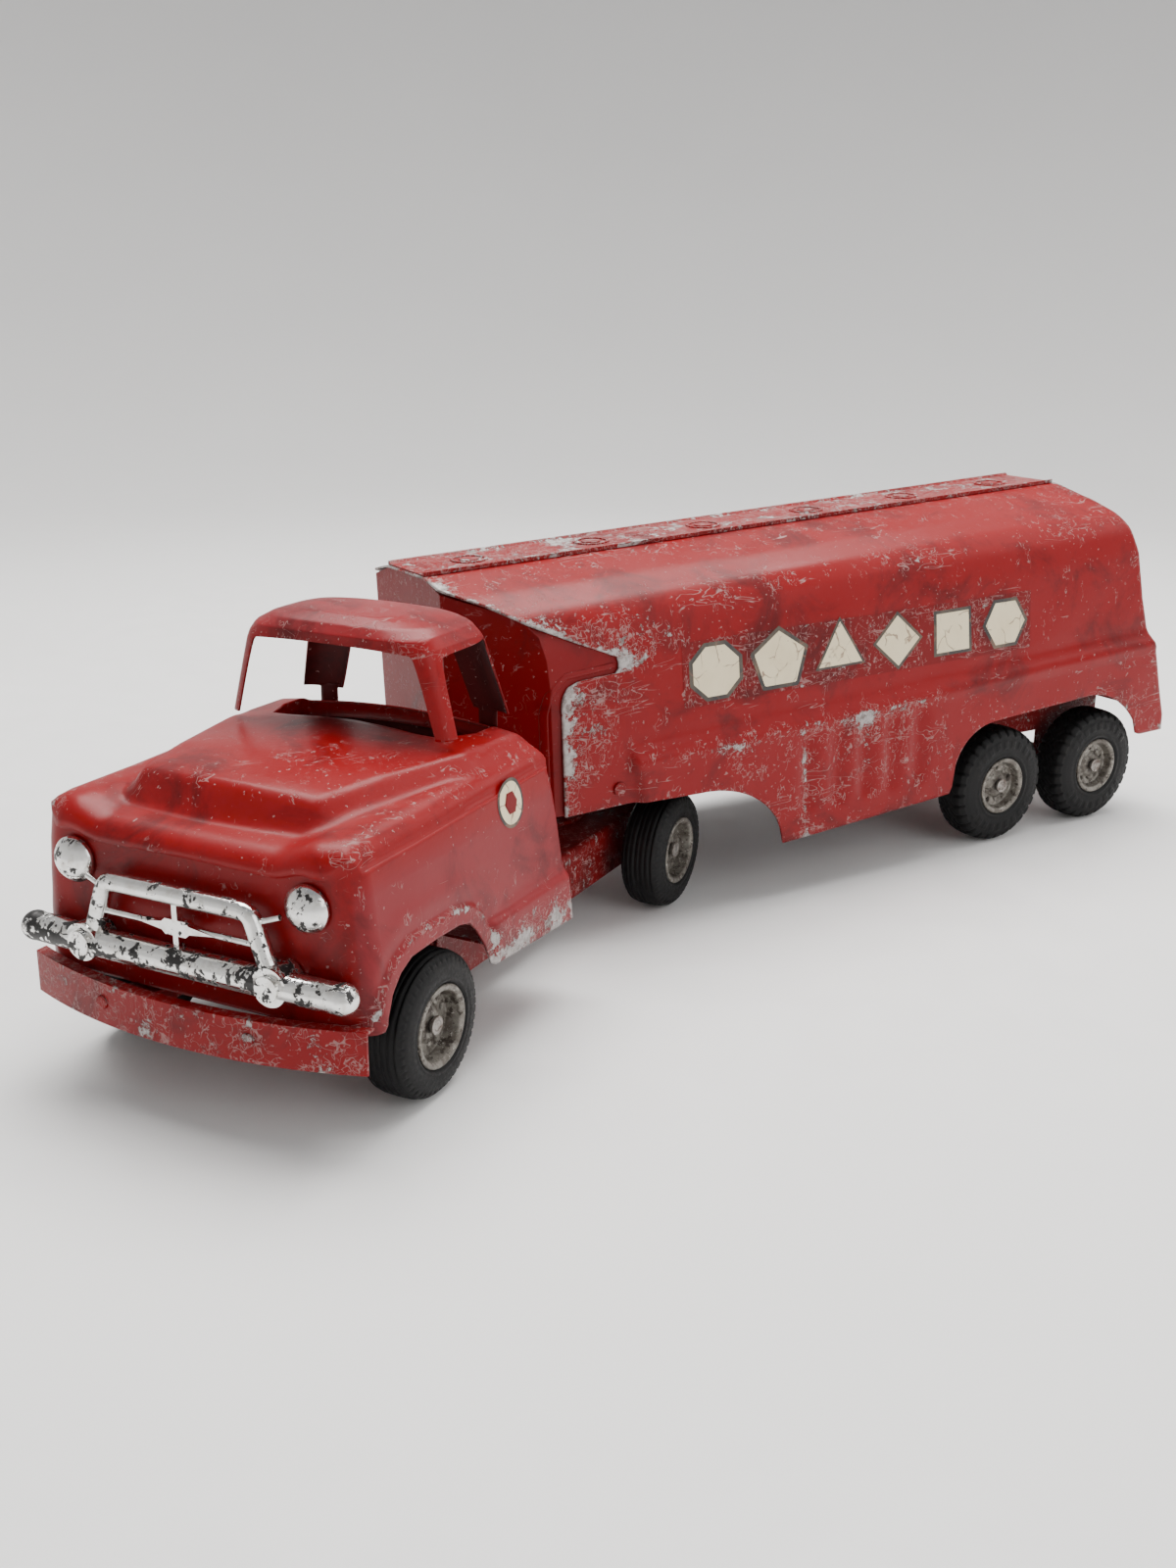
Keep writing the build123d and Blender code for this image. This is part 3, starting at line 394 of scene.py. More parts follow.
def crackle_group():
    """A printed colour with fine cracks and worn specks down to what is under it."""
    group, g, start, end = new_group(
        "Crackle",
        [("Print", "Color", (0.78, 0.70, 0.52, 1)), ("Under", "Color", (0.25, 0.03, 0.03, 1)),
         ("Scale", "Float", 90.0)],
        [("Color", "Color"), ("Roughness", "Float"), ("Height", "Float")])
    where = object_place(g)
    shift = g.add("ShaderNodeVectorMath", {0: where, 1: g.add("ShaderNodeVectorMath", {
        0: g.add("ShaderNodeTexNoise", {"Vector": where, "Scale": 120.0}).outputs["Color"],
        1: (0.008, 0.008, 0.008)},
        operation="MULTIPLY").outputs[0]}, operation="ADD").outputs[0]
    cell = g.add("ShaderNodeTexVoronoi", {"Vector": shift, "Scale": start.outputs["Scale"]},
                 feature="DISTANCE_TO_EDGE").outputs["Distance"]
    gate = g.ramp(g.noise(60.0, 3.0, 0.6, where), 0.42, 0.52)
    crack = g.times(g.ramp(cell, 0.0, 0.035, 1.0, 0.0), gate)
    speck = g.ramp(g.noise(480.0, 5.0, 0.7, where, 0.5), 0.70, 0.74)
    stain = g.ramp(g.noise(45.0, 4.0, 0.6, where), 0.4, 0.8, 0.0, 0.35)
    tone = g.mix(stain, start.outputs["Print"], (0.50, 0.36, 0.20, 1))
    tone = g.mix(g.times(crack, 0.8), tone, (0.16, 0.07, 0.04, 1))
    g.feed(end.inputs["Color"], g.mix(speck, tone, start.outputs["Under"]))
    g.feed(end.inputs["Roughness"], g.ramp(g.noise(30.0, 2.0, 0.5, where), 0.2, 0.8, 0.38, 0.55))
    g.feed(end.inputs["Height"], g.times(g.math("MAXIMUM", crack, speck), -1.0))
    return group


GROUPS = {}
MATERIALS = {}


def finish_from(name, group_name, maker, values, bump_strength, bump_distance, coat=0.0, specular=0.5):
    """A material whose Principled shader is fed by a shared group with this material's own values."""
    if name in MATERIALS:
        return MATERIALS[name]
    if group_name not in GROUPS:
        GROUPS[group_name] = maker()
    material = bpy.data.materials.new(name)
    material.use_nodes = True
    g = Graph(material.node_tree)
    shader = material.node_tree.nodes["Principled BSDF"]
    node = g.add("ShaderNodeGroup")
    node.node_tree = GROUPS[group_name]
    for key, value in values.items():
        node.inputs[key].default_value = value
    g.feed(shader.inputs["Base Color"], node.outputs["Color"])
    g.feed(shader.inputs["Roughness"], node.outputs["Roughness"])
    if "Metallic" in node.outputs:
        g.feed(shader.inputs["Metallic"], node.outputs["Metallic"])
    relief = g.add("ShaderNodeBump", {"Strength": bump_strength, "Distance": bump_distance,
                                      "Height": node.outputs["Height"]})
    g.feed(shader.inputs["Normal"], relief)
    shader.inputs["Specular IOR Level"].default_value = specular
    if coat:
        shader.inputs["Coat Weight"].default_value = coat
        shader.inputs["Coat Roughness"].default_value = 0.25
    MATERIALS[name] = material
    return material


def red_paint(name="red enamel", wear=1.0, scratches=1.0, gloss=0.30, shade=1.0):
    """The toy's enamel, more or less worn, glossy and dark. shade scales its colours: below 1 for the darker
    printed panel, which is its own colour, and for painted shade on the nose, chassis and insides; above 1 for
    painted light on the roof.
    """
    colours = bpy.context.scene.tanker_colours
    tint = [tuple(shade * v for v in colour)
            + (1.0,) for colour in (colours.paint, colours.faded, colours.deep)]
    return finish_from(name, "Worn paint", worn_paint_group,
                       {"Paint": tint[0], "Faded": tint[1], "Deep": tint[2],
                        "Metal": tuple(colours.bare_metal) + (1.0,),
                        "Wear": wear, "Scratches": scratches, "Gloss": gloss}, 0.45, 0.0008, specular=0.20)


def inside_shade_paint():
    """Enamel on the inside of the pressings, darkened to 0.3 of the red: painted shade on the hollow insides.
    """
    return red_paint("inside shade enamel", 0.3, 0.3, 0.5, 0.30)


def plating(name="worn plating", loss=0.5):
    """Bright plating, more or less flaked."""
    colours = bpy.context.scene.tanker_colours
    return finish_from(name, "Worn plating", worn_plating_group,
                       {"Plating": tuple(colours.plating) + (1.0,), "Loss": loss}, 0.3, 0.0003)


def simple_finish(name, build):
    """A material built by a short function that gets the graph and the Principled shader."""
    if name not in MATERIALS:
        material = bpy.data.materials.new(name)
        material.use_nodes = True
        build(Graph(material.node_tree), material.node_tree.nodes["Principled BSDF"])
        MATERIALS[name] = material
    return MATERIALS[name]


def rubber():
    """Hard black rubber with a little dust in it."""
    def build(g, shader):
        where = object_place(g)
        fine = g.noise(700.0, 5.0, 0.7, where)
        dust = g.times(g.ramp(g.noise(60.0, 5.0, 0.7, where, 0.5), 0.5, 0.75), 0.35)
        tone = g.mix(g.ramp(fine, 0.35, 0.75), (0.0022, 0.0022, 0.0026, 1), (0.0085, 0.0082, 0.0084, 1))
        g.feed(shader.inputs["Base Color"], g.mix(dust, tone, (0.024, 0.021, 0.019, 1)))
        g.feed(shader.inputs["Roughness"], g.ramp(fine, 0.3, 0.7, 0.42, 0.70))
        g.feed(shader.inputs["Normal"], g.add("ShaderNodeBump",
                                              {"Strength": 0.3, "Distance": 0.0004, "Height": fine}))
        shader.inputs["Specular IOR Level"].default_value = 0.2
    return simple_finish("black rubber", build)


def wheel_steel():
    """Pressed steel gone grey, with rust and rubbed spots."""
    def build(g, shader):
        where = object_place(g)
        cloud = g.noise(170.0, 5.0, 0.7, where, 0.4)
        fine = g.noise(900.0, 3.0, 0.6, where)
        tone = g.mix(g.ramp(cloud, 0.35, 0.65), (0.23, 0.215, 0.19, 1), (0.085, 0.072, 0.058, 1))
        tone = g.mix(g.ramp(g.noise(320.0, 4.0, 0.7, where), 0.52, 0.62, 0.0, 0.9), tone,
                     (0.030, 0.020, 0.015, 1))
        tone = g.mix(g.ramp(fine, 0.62, 0.70, 0.0, 0.6), tone, (0.60, 0.57, 0.52, 1))
        g.feed(shader.inputs["Base Color"], tone)
        g.feed(shader.inputs["Metallic"], g.ramp(cloud, 0.3, 0.7, 0.65, 0.1))
        g.feed(shader.inputs["Roughness"], g.ramp(cloud, 0.3, 0.7, 0.30, 0.62))
        g.feed(shader.inputs["Normal"], g.add("ShaderNodeBump",
                                              {"Strength": 0.4, "Distance": 0.0003, "Height": fine}))
    return simple_finish("wheel steel", build)


def dull_steel():
    """Plain axle and pin steel with rust."""
    def build(g, shader):
        where = object_place(g)
        cloud = g.noise(220.0, 5.0, 0.7, where, 0.4)
        tone = g.mix(g.ramp(cloud, 0.4, 0.65), (0.30, 0.28, 0.26, 1), (0.09, 0.06, 0.045, 1))
        g.feed(shader.inputs["Base Color"], tone)
        g.feed(shader.inputs["Metallic"], g.ramp(cloud, 0.4, 0.7, 0.85, 0.2))
        g.feed(shader.inputs["Roughness"], g.ramp(cloud, 0.3, 0.7, 0.35, 0.65))
        g.feed(shader.inputs["Normal"], g.add("ShaderNodeBump",
                                              {"Strength": 0.3, "Distance": 0.0003, "Height": cloud}))
    return simple_finish("dull steel", build)


def printed(name, colour, under=(0.22, 0.02, 0.025, 1), scale=90.0):
    """Old print with cracks in it."""
    return finish_from(name, "Crackle", crackle_group, {"Print": colour, "Under": under, "Scale": scale},
                       0.25, 0.0003, coat=0.1)


# ---------------------------------------------------------------- tank

FRONT_EDGE = np.array([(58.0, 22.6), (92.0, 22.5), (112.0, 21.8), (116.5, 20.2), (119.2, 17.5), (120.6, 13.0),
                       (120.95, 9.0),
                       (121.05, -6.5), (122.2, -8.3), (127.0, -8.6), (128.6, -7.2), (139.0, 16.0),
                       (147.5, 33.0),
                       (155.5, 46.0), (161.0, 58.6), (170.0, 58.8)])
TAIL_EDGE = np.array([(20.0, -369.0), (37.0, -368.9), (77.0, -358.0), (90.0, -352.5), (106.0, -348.5),
                      (130.0, -345.5),
                      (146.0, -340.0), (159.5, -331.5), (170.0, -330.8)])
LOWER_ROW_Z = 62.6


def lower_edge():
    """The sheet's lower edge from nose to tail as (x, z), with arcs over the drive and tandem wheels."""
    turn = np.linspace(0, 1, 14)[1:-1]
    drive = [(-46 - 50.3 * math.sin(t * math.pi / 2),
              58.8 - 35.8 * (1 - math.cos(t * math.pi / 2))) for t in turn]
    front = [(-208 - 28 * (1 - math.cos(t * math.pi / 2)),
              32 + 25.8 * math.sin(t * math.pi / 2)) for t in turn]
    rear = [(-306 - 37.5 * math.sin(t * math.pi / 2),
             58.8 - 29.2 * (1 - math.cos(t * math.pi / 2))) for t in turn]
    return np.array([(24.0, 61.6), (-10.0, 61.2), (-46.0, 58.8), *drive, (-96.3, 23.2), (-98.0, 23.0),
                     (-206.5, 24.7),
                     (-208.0, 30.0), *front, (-236.0, 57.8), (-306.0, 58.8), *rear, (-343.5, 29.6),
                     (-346.0, 28.9),
                     (-362.0, 28.4), (-367.0, 30.5), (-369.5, 34.5)])


def edge_x(edge, z):
    """Where an edge given as (z, x) stands at a height."""
    return np.interp(z, edge[:, 0], edge[:, 1])


def tank_half_section():
    """Half of the tank's cross-section as (y, z), from the crown's middle down to the lower rows."""
    line = rounded([(0.0, 164.35), (18.0, 164.35), (42.6, 157.9), (57.0, 151.4), (63.2, 143.8), (66.2, 132.0),
                    (67.8, 112.0),
                    (TANK_HALF, 92.0), (TANK_HALF, 55.0)], 5.0)
    line = line[line[:, 1] > LOWER_ROW_Z]
    return np.vstack([line[::5], [[TANK_HALF, LOWER_ROW_Z]]])


FLUTES = (-112.0, -131.0, -148.5, -166.0, -184.0)


def tank_bulge(x, z):
    """How far the sheet stands out beyond the plain side: the skirt's flare below the crease, its flutes
    and its front corner."""
    flare = 3.1 * ease((91.0 - z) / 11.5)
    crease = 1.15 * bump(z - 79.5, 2.6) - 0.9 * bump(z - 86.0, 3.0)
    starts = ease((-10.5 - x - 0.55 * np.clip(76.0 - z, 0, 5)) / 4.5)
    flutes = sum(bump(x - at, 4.6) for at in FLUTES) * ease((76.0 - z) / 6.0) * ease((z - 33.0) / 8.0)
    return (flare + crease) * starts - 2.4 * flutes


def tank_dents(x, z, side):
    """Gentle dents and waves of thin sheet, as a sum of slow sines."""
    return (0.16 * np.sin(x / 23.0 + 1.3 * side) * np.sin(z / 17.0) + 0.10 * np.sin(x / 9.0 + z / 7.0)
            - 0.35 * bump(np.hypot(x + 66, z - 108), 9.0) - 0.3 * bump(np.hypot(x + 150, z - 150), 12.0))


def tank_point(x, z, side, lift=0.0):
    """The point of the tank's side at that x and height, lift outwards, in the level tank's millimetres."""
    line = tank_half_section()
    order = np.argsort(-line[:, 1])
    y = np.interp(-z, -line[order, 1], line[order, 0])
    y = y + tank_bulge(x, z) + lift
    return np.stack([x, side * y, z], -1)


def tank_wear(points):
    """How worn each point of the tank is: the front edge and notch, crease, flutes, lower edge and
    shoulder."""
    x, y, z = points[..., 0], np.abs(points[..., 1]), points[..., 2]
    ahead = edge_x(FRONT_EDGE, z) - x
    behind = x - edge_x(TAIL_EDGE, z)
    low = np.interp(-x, -lower_edge()[:, 0], lower_edge()[:, 1])
    wear = 0.08 + 0.85 * np.exp(-np.clip(ahead, 0, None) / 7.0) + 0.35 * np.exp(-np.clip(behind, 0, None)
                                                                                / 5.0)
    wear += 0.75 * bump(np.hypot((x + 14) / 2.2, (z - 132) / 1.2), 12.0)
    wear += 0.46 * ease((40 + x) / 50) * ease((124 - z) / 12) * ease((z - 62) / 25)
    wear += 0.50 * bump(z - 78.5, 4.5) * ease((-10 - x) / 20) * ease((x + 215) / 40)
    wear += 0.40 * ease((82 - z) / 6) * ease((z - 30) / 10) * bump(x + 150, 55.0)
    wear += 0.75 * bump(x + 110.5, 2.6) * ease((76 - z) / 6) + 0.6 * bump(np.hypot(x + 148, (z - 74) * 0.8),
                                                                          6.0)
    wear += 0.45 * np.exp(-np.clip(z - low, 0, None) / 2.5)
    wear += 0.40 * bump(z - 148, 7.0) * (0.5 + 0.5 * np.sin(x / 17.0)) + 0.25 * ease((z - 158) / 4)
    wear += 0.35 * bump(np.hypot((x + 70) / 1.6, z - 66),
                        14.0) + 0.45 * bump(np.hypot((x + 340) / 1.2, z - 45), 18.0)
    return np.clip(wear, 0, 1.35)


def make_tank_shell():
    """Tank sheet: the half section swept from its front edge to its tail edge, then ruled down to the
    lower edge."""
    columns, lower_rows = 230, 16
    line = tank_half_section()
    step_rows = np.array([[np.interp(-z, -line[:, 1], line[:, 0]), z] for z in (121.1, 120.9, 128.2, 119.0)])
    line = np.vstack([line, step_rows])
    line = line[np.lexsort((line[:, 0], -line[:, 1]))]
    u = np.linspace(0, 1, columns)
    rows = []
    for side in (1.0, -1.0):
        z = line[:, 1][:, None] + 0 * u
        front = edge_x(FRONT_EDGE, line[:, 1])[:, None]
        tail = edge_x(TAIL_EDGE, line[:, 1])[:, None]
        x = front * (1 - u) + tail * u
        off_crown = ease((line[:, 0] - FLAT_CROWN_HALF) / 8.0)[:, None]
        out = line[:, 0][:, None] + (tank_bulge(x, z) + tank_dents(x, z, side) * off_crown) * ease((150 - z)
                                                                                                   / 20)
        out = np.where(line[:, 0][:, None] <= FLAT_CROWN_HALF, line[:, 0][:, None], out)
        upper = np.stack([x, side * out, z], -1)
        t = np.linspace(0, 1, lower_rows + 1)[1:, None]
        edge = lower_edge()
        base_x = edge_x(FRONT_EDGE, LOWER_ROW_Z) * (1 - u) + edge_x(TAIL_EDGE, LOWER_ROW_Z) * u
        floor_z = np.interp(-base_x, -edge[:, 0], edge[:, 1])
        low_z = LOWER_ROW_Z * (1 - t) + floor_z * t
        lean = edge_x(TAIL_EDGE, low_z) - edge_x(TAIL_EDGE, LOWER_ROW_Z)
        low_x = base_x + lean * ease((-330 - base_x) / 24)
        low_out = TANK_HALF + tank_bulge(low_x, low_z) + tank_dents(low_x, low_z, side)
        rows.append(np.concatenate([upper, np.stack([low_x, side * low_out, low_z], -1)], 0))
    points = np.concatenate([rows[0][::-1], rows[1][1:]], 0)
    fade = 0.05 + 0.25 * ease((95 - points[..., 2]) / 40)
    piece = make_piece("tank_sheet", raked(points), grid_quads(points.shape[0], columns), red_paint(),
                       "trailer",
                       ["tank_shell"], tank_wear(points), fade)
    # the wall's inside takes the enamel darkened to 0.3: painted shade
    add_thickness(piece, SHEET * MM, inside=inside_shade_paint())


def nose_wear(at):
    """Edges near the crown and the outer cheeks are rubbed."""
    p = unraked(at)
    return np.clip(0.15 + 0.6 * ease((p[:, 2] - 156) / 6) + 0.2 * ease((p[:, 0] - 50) / 8), 0, 1)


def nose_plan_y(x):
    """Half width of the nose panel's cheek at a station."""
    return np.interp(x, [-24.0, 18.0, 26.0, 58.0], [67.9, 67.9, 65.9, 31.0])


def make_nose_beads():
    """Raised beads on the cheeks, parallel to the shell's edge: a half-round section carried along a path."""
    path = rounded([(28.5, 61.8), (28.5, 108.0), (26.5, 117.0), (19.0, 123.4), (4.0, 123.9), (-6.6, 124.4)],
                   3.0, 0.5)
    turn = np.linspace(0, 2 * math.pi, 13)[:-1]
    along = np.gradient(path, axis=0)
    along /= np.linalg.norm(along, axis=1)[:, None]
    for side_name, side in SIDES:
        skin = np.interp(path[:, 1], [92.0, 112.0, 132.0, 142.0], [69.2, 67.6, 66.2, 63.8]) - 1.15
        section = np.minimum(nose_plan_y(path[:, 0]), skin)
        x = path[:, 0][:, None] + along[:, 1][:, None] * 1.5 * np.cos(turn)
        z = path[:, 1][:, None] - along[:, 0][:, None] * 1.5 * np.cos(turn)
        y = section[:, None] + 0.55 * np.sin(turn)
        y = y + (nose_plan_y(x) - nose_plan_y(path[:, 0])[:, None])
        points = np.stack([x, side * y, z], -1)
        first, last = list(range(12)), [len(path) * 12 - 12 + k for k in range(12)][::-1]
        # the beads share the nose enamel, darkened to 0.8: painted shade on the nose
        bead = make_piece(f"nose_bead_{side_name}", raked(points),
                          grid_quads(len(path), 12, wrap_columns=True).tolist() + [first, last],
                          red_paint("nose enamel painted shade", 0.6, 0.5, 0.34, 0.8), "trailer", wear=0.3)
        outward(bead)


# ---------------------------------------------------------------- markings

# each shape's number of sides, how far it is turned, and how much larger it is drawn
SHAPES = {"hexagon": (6, 0.0, 1.0), "square": (4, math.pi / 4, 1.12), "diamond": (4, 0.0, 1.0),
          "triangle": (3, math.pi / 2, 1.12), "pentagon": (5, math.pi / 2, 1.12),
          "octagon": (8, math.pi / 8, 1.0)}
DOOR_MIDDLE = (138.7, 95.0)


def shape_radius(kind, turn):
    """Radius of a plain outline at each angle, about 1: a polygon's r is the apothem over the cosine from
    its nearest side."""
    if kind == "disc":
        return np.ones_like(turn)
    sides, lean, _ = SHAPES[kind]
    step = 2 * math.pi / sides
    within = (turn - lean) % step - step / 2
    return math.cos(step / 2) / np.cos(within)


def marking(name, kind, centre, half, side, material_print, material_line, lift, body, place, surface,
            lean=0.0):
    """A flat shape laid on a surface: rings of points from its middle to its outline, and a dark band
    round it."""
    turn = np.linspace(0, 2 * math.pi, 97)[:-1]
    radius = shape_radius(kind, turn)
    for title, reach, material, extra in (("line", 1.0, material_line, 0.0),
                                          ("print", 0.86, material_print, 0.08)):
        rho = np.linspace(0.0, reach, 9)[1:, None]
        x = centre[0] + half[0] * rho * (radius * np.cos(turn))[None]
        z = centre[1] + half[1] * rho * (radius * np.sin(turn))[None] + lean * (x - centre[0])
        rim = surface(x, z, side, lift + extra)
        middle = surface(np.array([centre[0]]), np.array([centre[1]]), side, lift + extra)
        points = np.concatenate([middle[None].reshape(1, 3), rim.reshape(-1, 3)], 0)
        quads = (grid_quads(rho.size, turn.size, wrap_columns=True) + 1).tolist()
        fan = [[0, 1 + (i + 1) % turn.size, 1 + i] for i in range(turn.size)]
        faces = [f[::-1] for f in quads] + [f[::-1] for f in fan] if side > 0 else quads + fan
        piece = make_piece(f"{name}_{title}", place(points), faces, material, body, wear=0.0)
        normals_out(piece, side, place)


def normals_out(piece, side, place):
    """Turns a flat marking's faces so that they look out from the side it is on."""
    way = place(np.array([[0.0, side, 0.0]]))[0] - place(np.array([[0.0, 0.0, 0.0]]))[0]
    total = sum((Vector(p.normal) * p.area for p in piece.data.polygons), Vector())
    if total.dot(Vector(way)) < 0:
        piece.data.flip_normals()


def make_markings():
    """Six plain shapes in a darker panel on each side of the tank, and a plain ring on each door."""
    cream = printed("cream print", (0.74, 0.64, 0.43, 1))
    black = printed("black print", (0.016, 0.013, 0.013, 1), scale=60.0)
    panel = red_paint("panel red", wear=0.9, scratches=0.8, gloss=0.36, shade=0.74)
    low, high, start, stop = 97.0, 126.5, -262.0, -42.0
    for side_name, side in SIDES:
        x, z = np.meshgrid(np.linspace(start, stop, 111), np.linspace(0, 1, 17))
        lean = 0.0305
        height = low + z * (high - low) + lean * (x - stop) + 2.2
        points = tank_point(x, height, side, 0.14) + np.stack([0 * x, side * tank_dents(x, height, side),
                                                               0 * x], -1)
        piece = make_piece(f"panel_{side_name}", raked(points), grid_quads(17, 111, flip=side > 0), panel,
                           "trailer",
                           wear=0.55, fade=0.0)
        normals_out(piece, side, raked)

        def surface(x, z, s, lift):
            return tank_point(x, z, s, lift) + np.stack([0 * x, s * tank_dents(x, z, s), 0 * x], -1)

        for index, kind in enumerate(SHAPES):
            at_x = start + (index + 0.5) * (stop - start) / len(SHAPES)
            at_z = (low + high) / 2 + lean * (at_x - stop) + 2.2
            wide = SHAPES[kind][2]
            marking(f"shape_{side_name}_{index + 1}", kind, (at_x, at_z), (16.2 * wide, 14.4 * wide), side,
                    cream, black, 0.24, "trailer", raked, surface, lean)
        marking(f"roundel_{side_name}", "disc", DOOR_MIDDLE, (9.4, 9.6), side,
                cream, black, 0.15, "tractor", turned, cab_side_point)
        marking(f"roundel_middle_{side_name}", "hexagon", DOOR_MIDDLE, (4.6, 4.6), side,
                panel, panel, 0.35, "tractor", turned, cab_side_point)


# ---------------------------------------------------------------- cab

ARCH = np.array([(161.4, 20.0), (161.7, 38.0), (166.0, 48.0), (171.0, 56.0), (175.5, 60.6), (183.0, 62.4),
                 (199.0, 62.8),
                 (215.0, 62.3), (222.5, 59.0), (228.2, 53.5), (231.4, 46.0), (232.0, 41.0), (232.2, 20.0)])


def cab_half(z):
    """The cab wall's half width at a height: upright at the sill, leaning in towards the shoulder."""
    return np.interp(z, [30.0, 50.0, 62.0, 78.0, 90.0, 100.0], [71.6, 71.6, 71.2, 70.2, 69.0, 67.2])


def cab_rear(z):
    """Where the cab's rear wall stands at a height."""
    return np.interp(z, [30.0, 57.7, 78.6, 100.0], [94.0, 98.9, 102.2, 105.4])


def cab_front(y, z):
    """Where the cab's front face stands: slightly bowed, with a brow that juts out over the lamps."""
    brow_z = 94.5 + 3.4 * ease((np.abs(y) - 32.0) / 14.0)
    bow = 0.8 * (1 - (y / 72.0) ** 2)
    return 242.0 + bow + 3.3 * ease((z - brow_z) / 3.0) * (1 - ease((np.abs(y) - 54.0) / 11.0))


def side_relief(x, z):
    """How far the side wall's beads and sill stand out."""
    at = np.stack([x, z], -1)
    near = distance_to(at, ARCH)
    arch = 1.5 * ease((7.5 - near) / 2.6) * ease((z - 20) / 10)
    swell = 1.0 * bump(near - 13.0, 4.5) * ease((z - 52) / 8)
    sill = 2.5 * ease((56.5 - z) / 3.0) * ease((164.0 - x) / 5.0)
    sill_bead = 0.6 * bump(z - 57.0, 1.8) * ease((160.0 - x) / 8.0)
    return np.maximum(arch + swell * 0.6, sill + sill_bead)


def cab_side_point(x, z, side, lift):
    """A point on the door or fender wall, lift outwards."""
    return np.stack([x, side * (cab_half(z) + side_relief(x, z) + lift), z], -1)


def cab_top(x, y):
    """Height of the bonnet, cowl and deck: fenders, a raised centre that narrows forward, and rounded
    shoulders."""
    side = np.abs(y)
    ridge = np.interp(x, [100.0, 148.0, 190.0, 214.0, 224.0],
                      [118.4, 119.3, 118.9, 117.4, 115.6]) - 0.00132 * side ** 2
    reach = np.interp(x, [104.0, 150.0, 180.0, 205.0, 222.0, 234.0], [61.5, 59.5, 52.5, 47.0, 43.0, 40.5])
    raised = ease((reach - side) / 9.5 + 0.35) * ease((231.5 - x - 0.0016 * side ** 2) / 11.0)
    fender = np.interp(x, [100.0, 160.0, 200.0, 232.0, 246.0], [110.5, 109.3, 108.2, 107.9, 106.0])
    valley = 4.2 * ease((x - 200.0) / 24.0) * (1 - ease((side - 36.0) / 17.0))
    deck = fender - valley
    height = deck + np.clip(ridge - deck, 0, None) * raised
    inside = np.minimum(66.4 - side, cab_front(y, 110.0) - x)
    inside = np.minimum(inside, x - 106.0)
    radius = 9.5
    gap = np.clip(radius - inside, 0, radius)
    fall = radius - np.sqrt(np.clip(radius ** 2 - gap ** 2, 0, None))
    return height - fall * np.interp(side, [0, 45, 60], [0.62, 0.72, 1.0])


def round_rectangle(rear, front, half, rear_r, front_r):
    """Plan loop from the rear middle round the left side, front and right side, as points (x, y)."""
    n_rear, n_front, n_corner = 26, 40, 9
    turn = np.linspace(0, math.pi / 2, n_corner + 2)[1:-1]
    rear_edge = np.stack([np.full(n_rear, rear), np.linspace(0, half - rear_r, n_rear)], 1)
    rear_corner = np.stack([rear + rear_r - rear_r * np.cos(turn), half - rear_r + rear_r * np.sin(turn)], 1)
    t = SIDE_STATIONS
    side = np.stack([rear + rear_r + (front - front_r - rear - rear_r) * t, np.full(t.size, half)], 1)
    front_corner = np.stack([front - front_r + front_r * np.sin(turn),
                             half - front_r + front_r * np.cos(turn)], 1)
    front_edge = np.stack([np.full(n_front, front), np.linspace(half - front_r, 0, n_front)], 1)
    left = np.concatenate([rear_edge, rear_corner, side, front_corner, front_edge])
    right = left[1:-1][::-1] * [1, -1]
    return np.concatenate([left, right])


def side_stations():
    """Stations along the side wall, as fractions, close together where the wheel arch turns down."""
    rear, front = 98.0 + 4.0, 242.0 - 10.5
    x = np.concatenate([np.linspace(rear, 160.6, 30), [161.2, 161.55, 161.9, 162.4],
                        np.linspace(163.2, 229.5, 56),
                        [230.2, 230.8, 231.2, 231.5]])
    return (x - rear) / (front - rear)


SIDE_STATIONS = side_stations()


def cab_loops():
    """A function that gives each plan point its place at its own height: the loop is linear in the rear
    wall and half width."""
    fixed = round_rectangle(0.0, CAB_NOSE, 0.0, 4.0, 10.5)
    by_rear = round_rectangle(1.0, CAB_NOSE, 0.0, 4.0, 10.5) - fixed
    by_half = round_rectangle(0.0, CAB_NOSE, 1.0, 4.0, 10.5) - fixed

    def loop(z):
        z = np.reshape(np.round(z, 1), (-1, 1))
        return fixed + by_rear * cab_rear(z) + by_half * cab_half(z)

    return loop


def cab_wear(points):
    """Wear on the cab: shoulders, brow, arch bead, sill and the opening's rim."""
    x, y, z = points[..., 0], np.abs(points[..., 1]), points[..., 2]
    near = distance_to(np.stack([x, z], -1), ARCH)
    wall = ease((y - 66) / 3)
    wear = 0.06 + 0.85 * bump(near - 5.5, 2.2) * wall * ease((z - 42) / 8) + 0.40 * bump(near, 2.0) * wall
    wear += 0.75 * ease((54 - z) / 6) * wall * ease((166 - x) / 6) + 0.35 * ease((46 - z) / 5)
    wear += 0.50 * bump(np.hypot(y - 62, (z - 104) * 0.9),
                        5.0) * (0.55 + 0.45 * np.sin(x / 7.0)) * ease((x - 205) / 25)
    wear += 0.30 * bump(np.hypot(y - 60, z - 108), 6.0)
    wear += 0.35 * bump(x - 243, 5.0) * ease((y - 60) / 6) + 0.18 * ease((z - 112) / 4) + 0.25 * bump(x - 222,
                                                                                                      5.0) * bump(z - 114, 4.0)
    wear += 0.35 * bump(x - cab_rear(z), 2.5)
    return np.clip(wear, 0, 1.3)


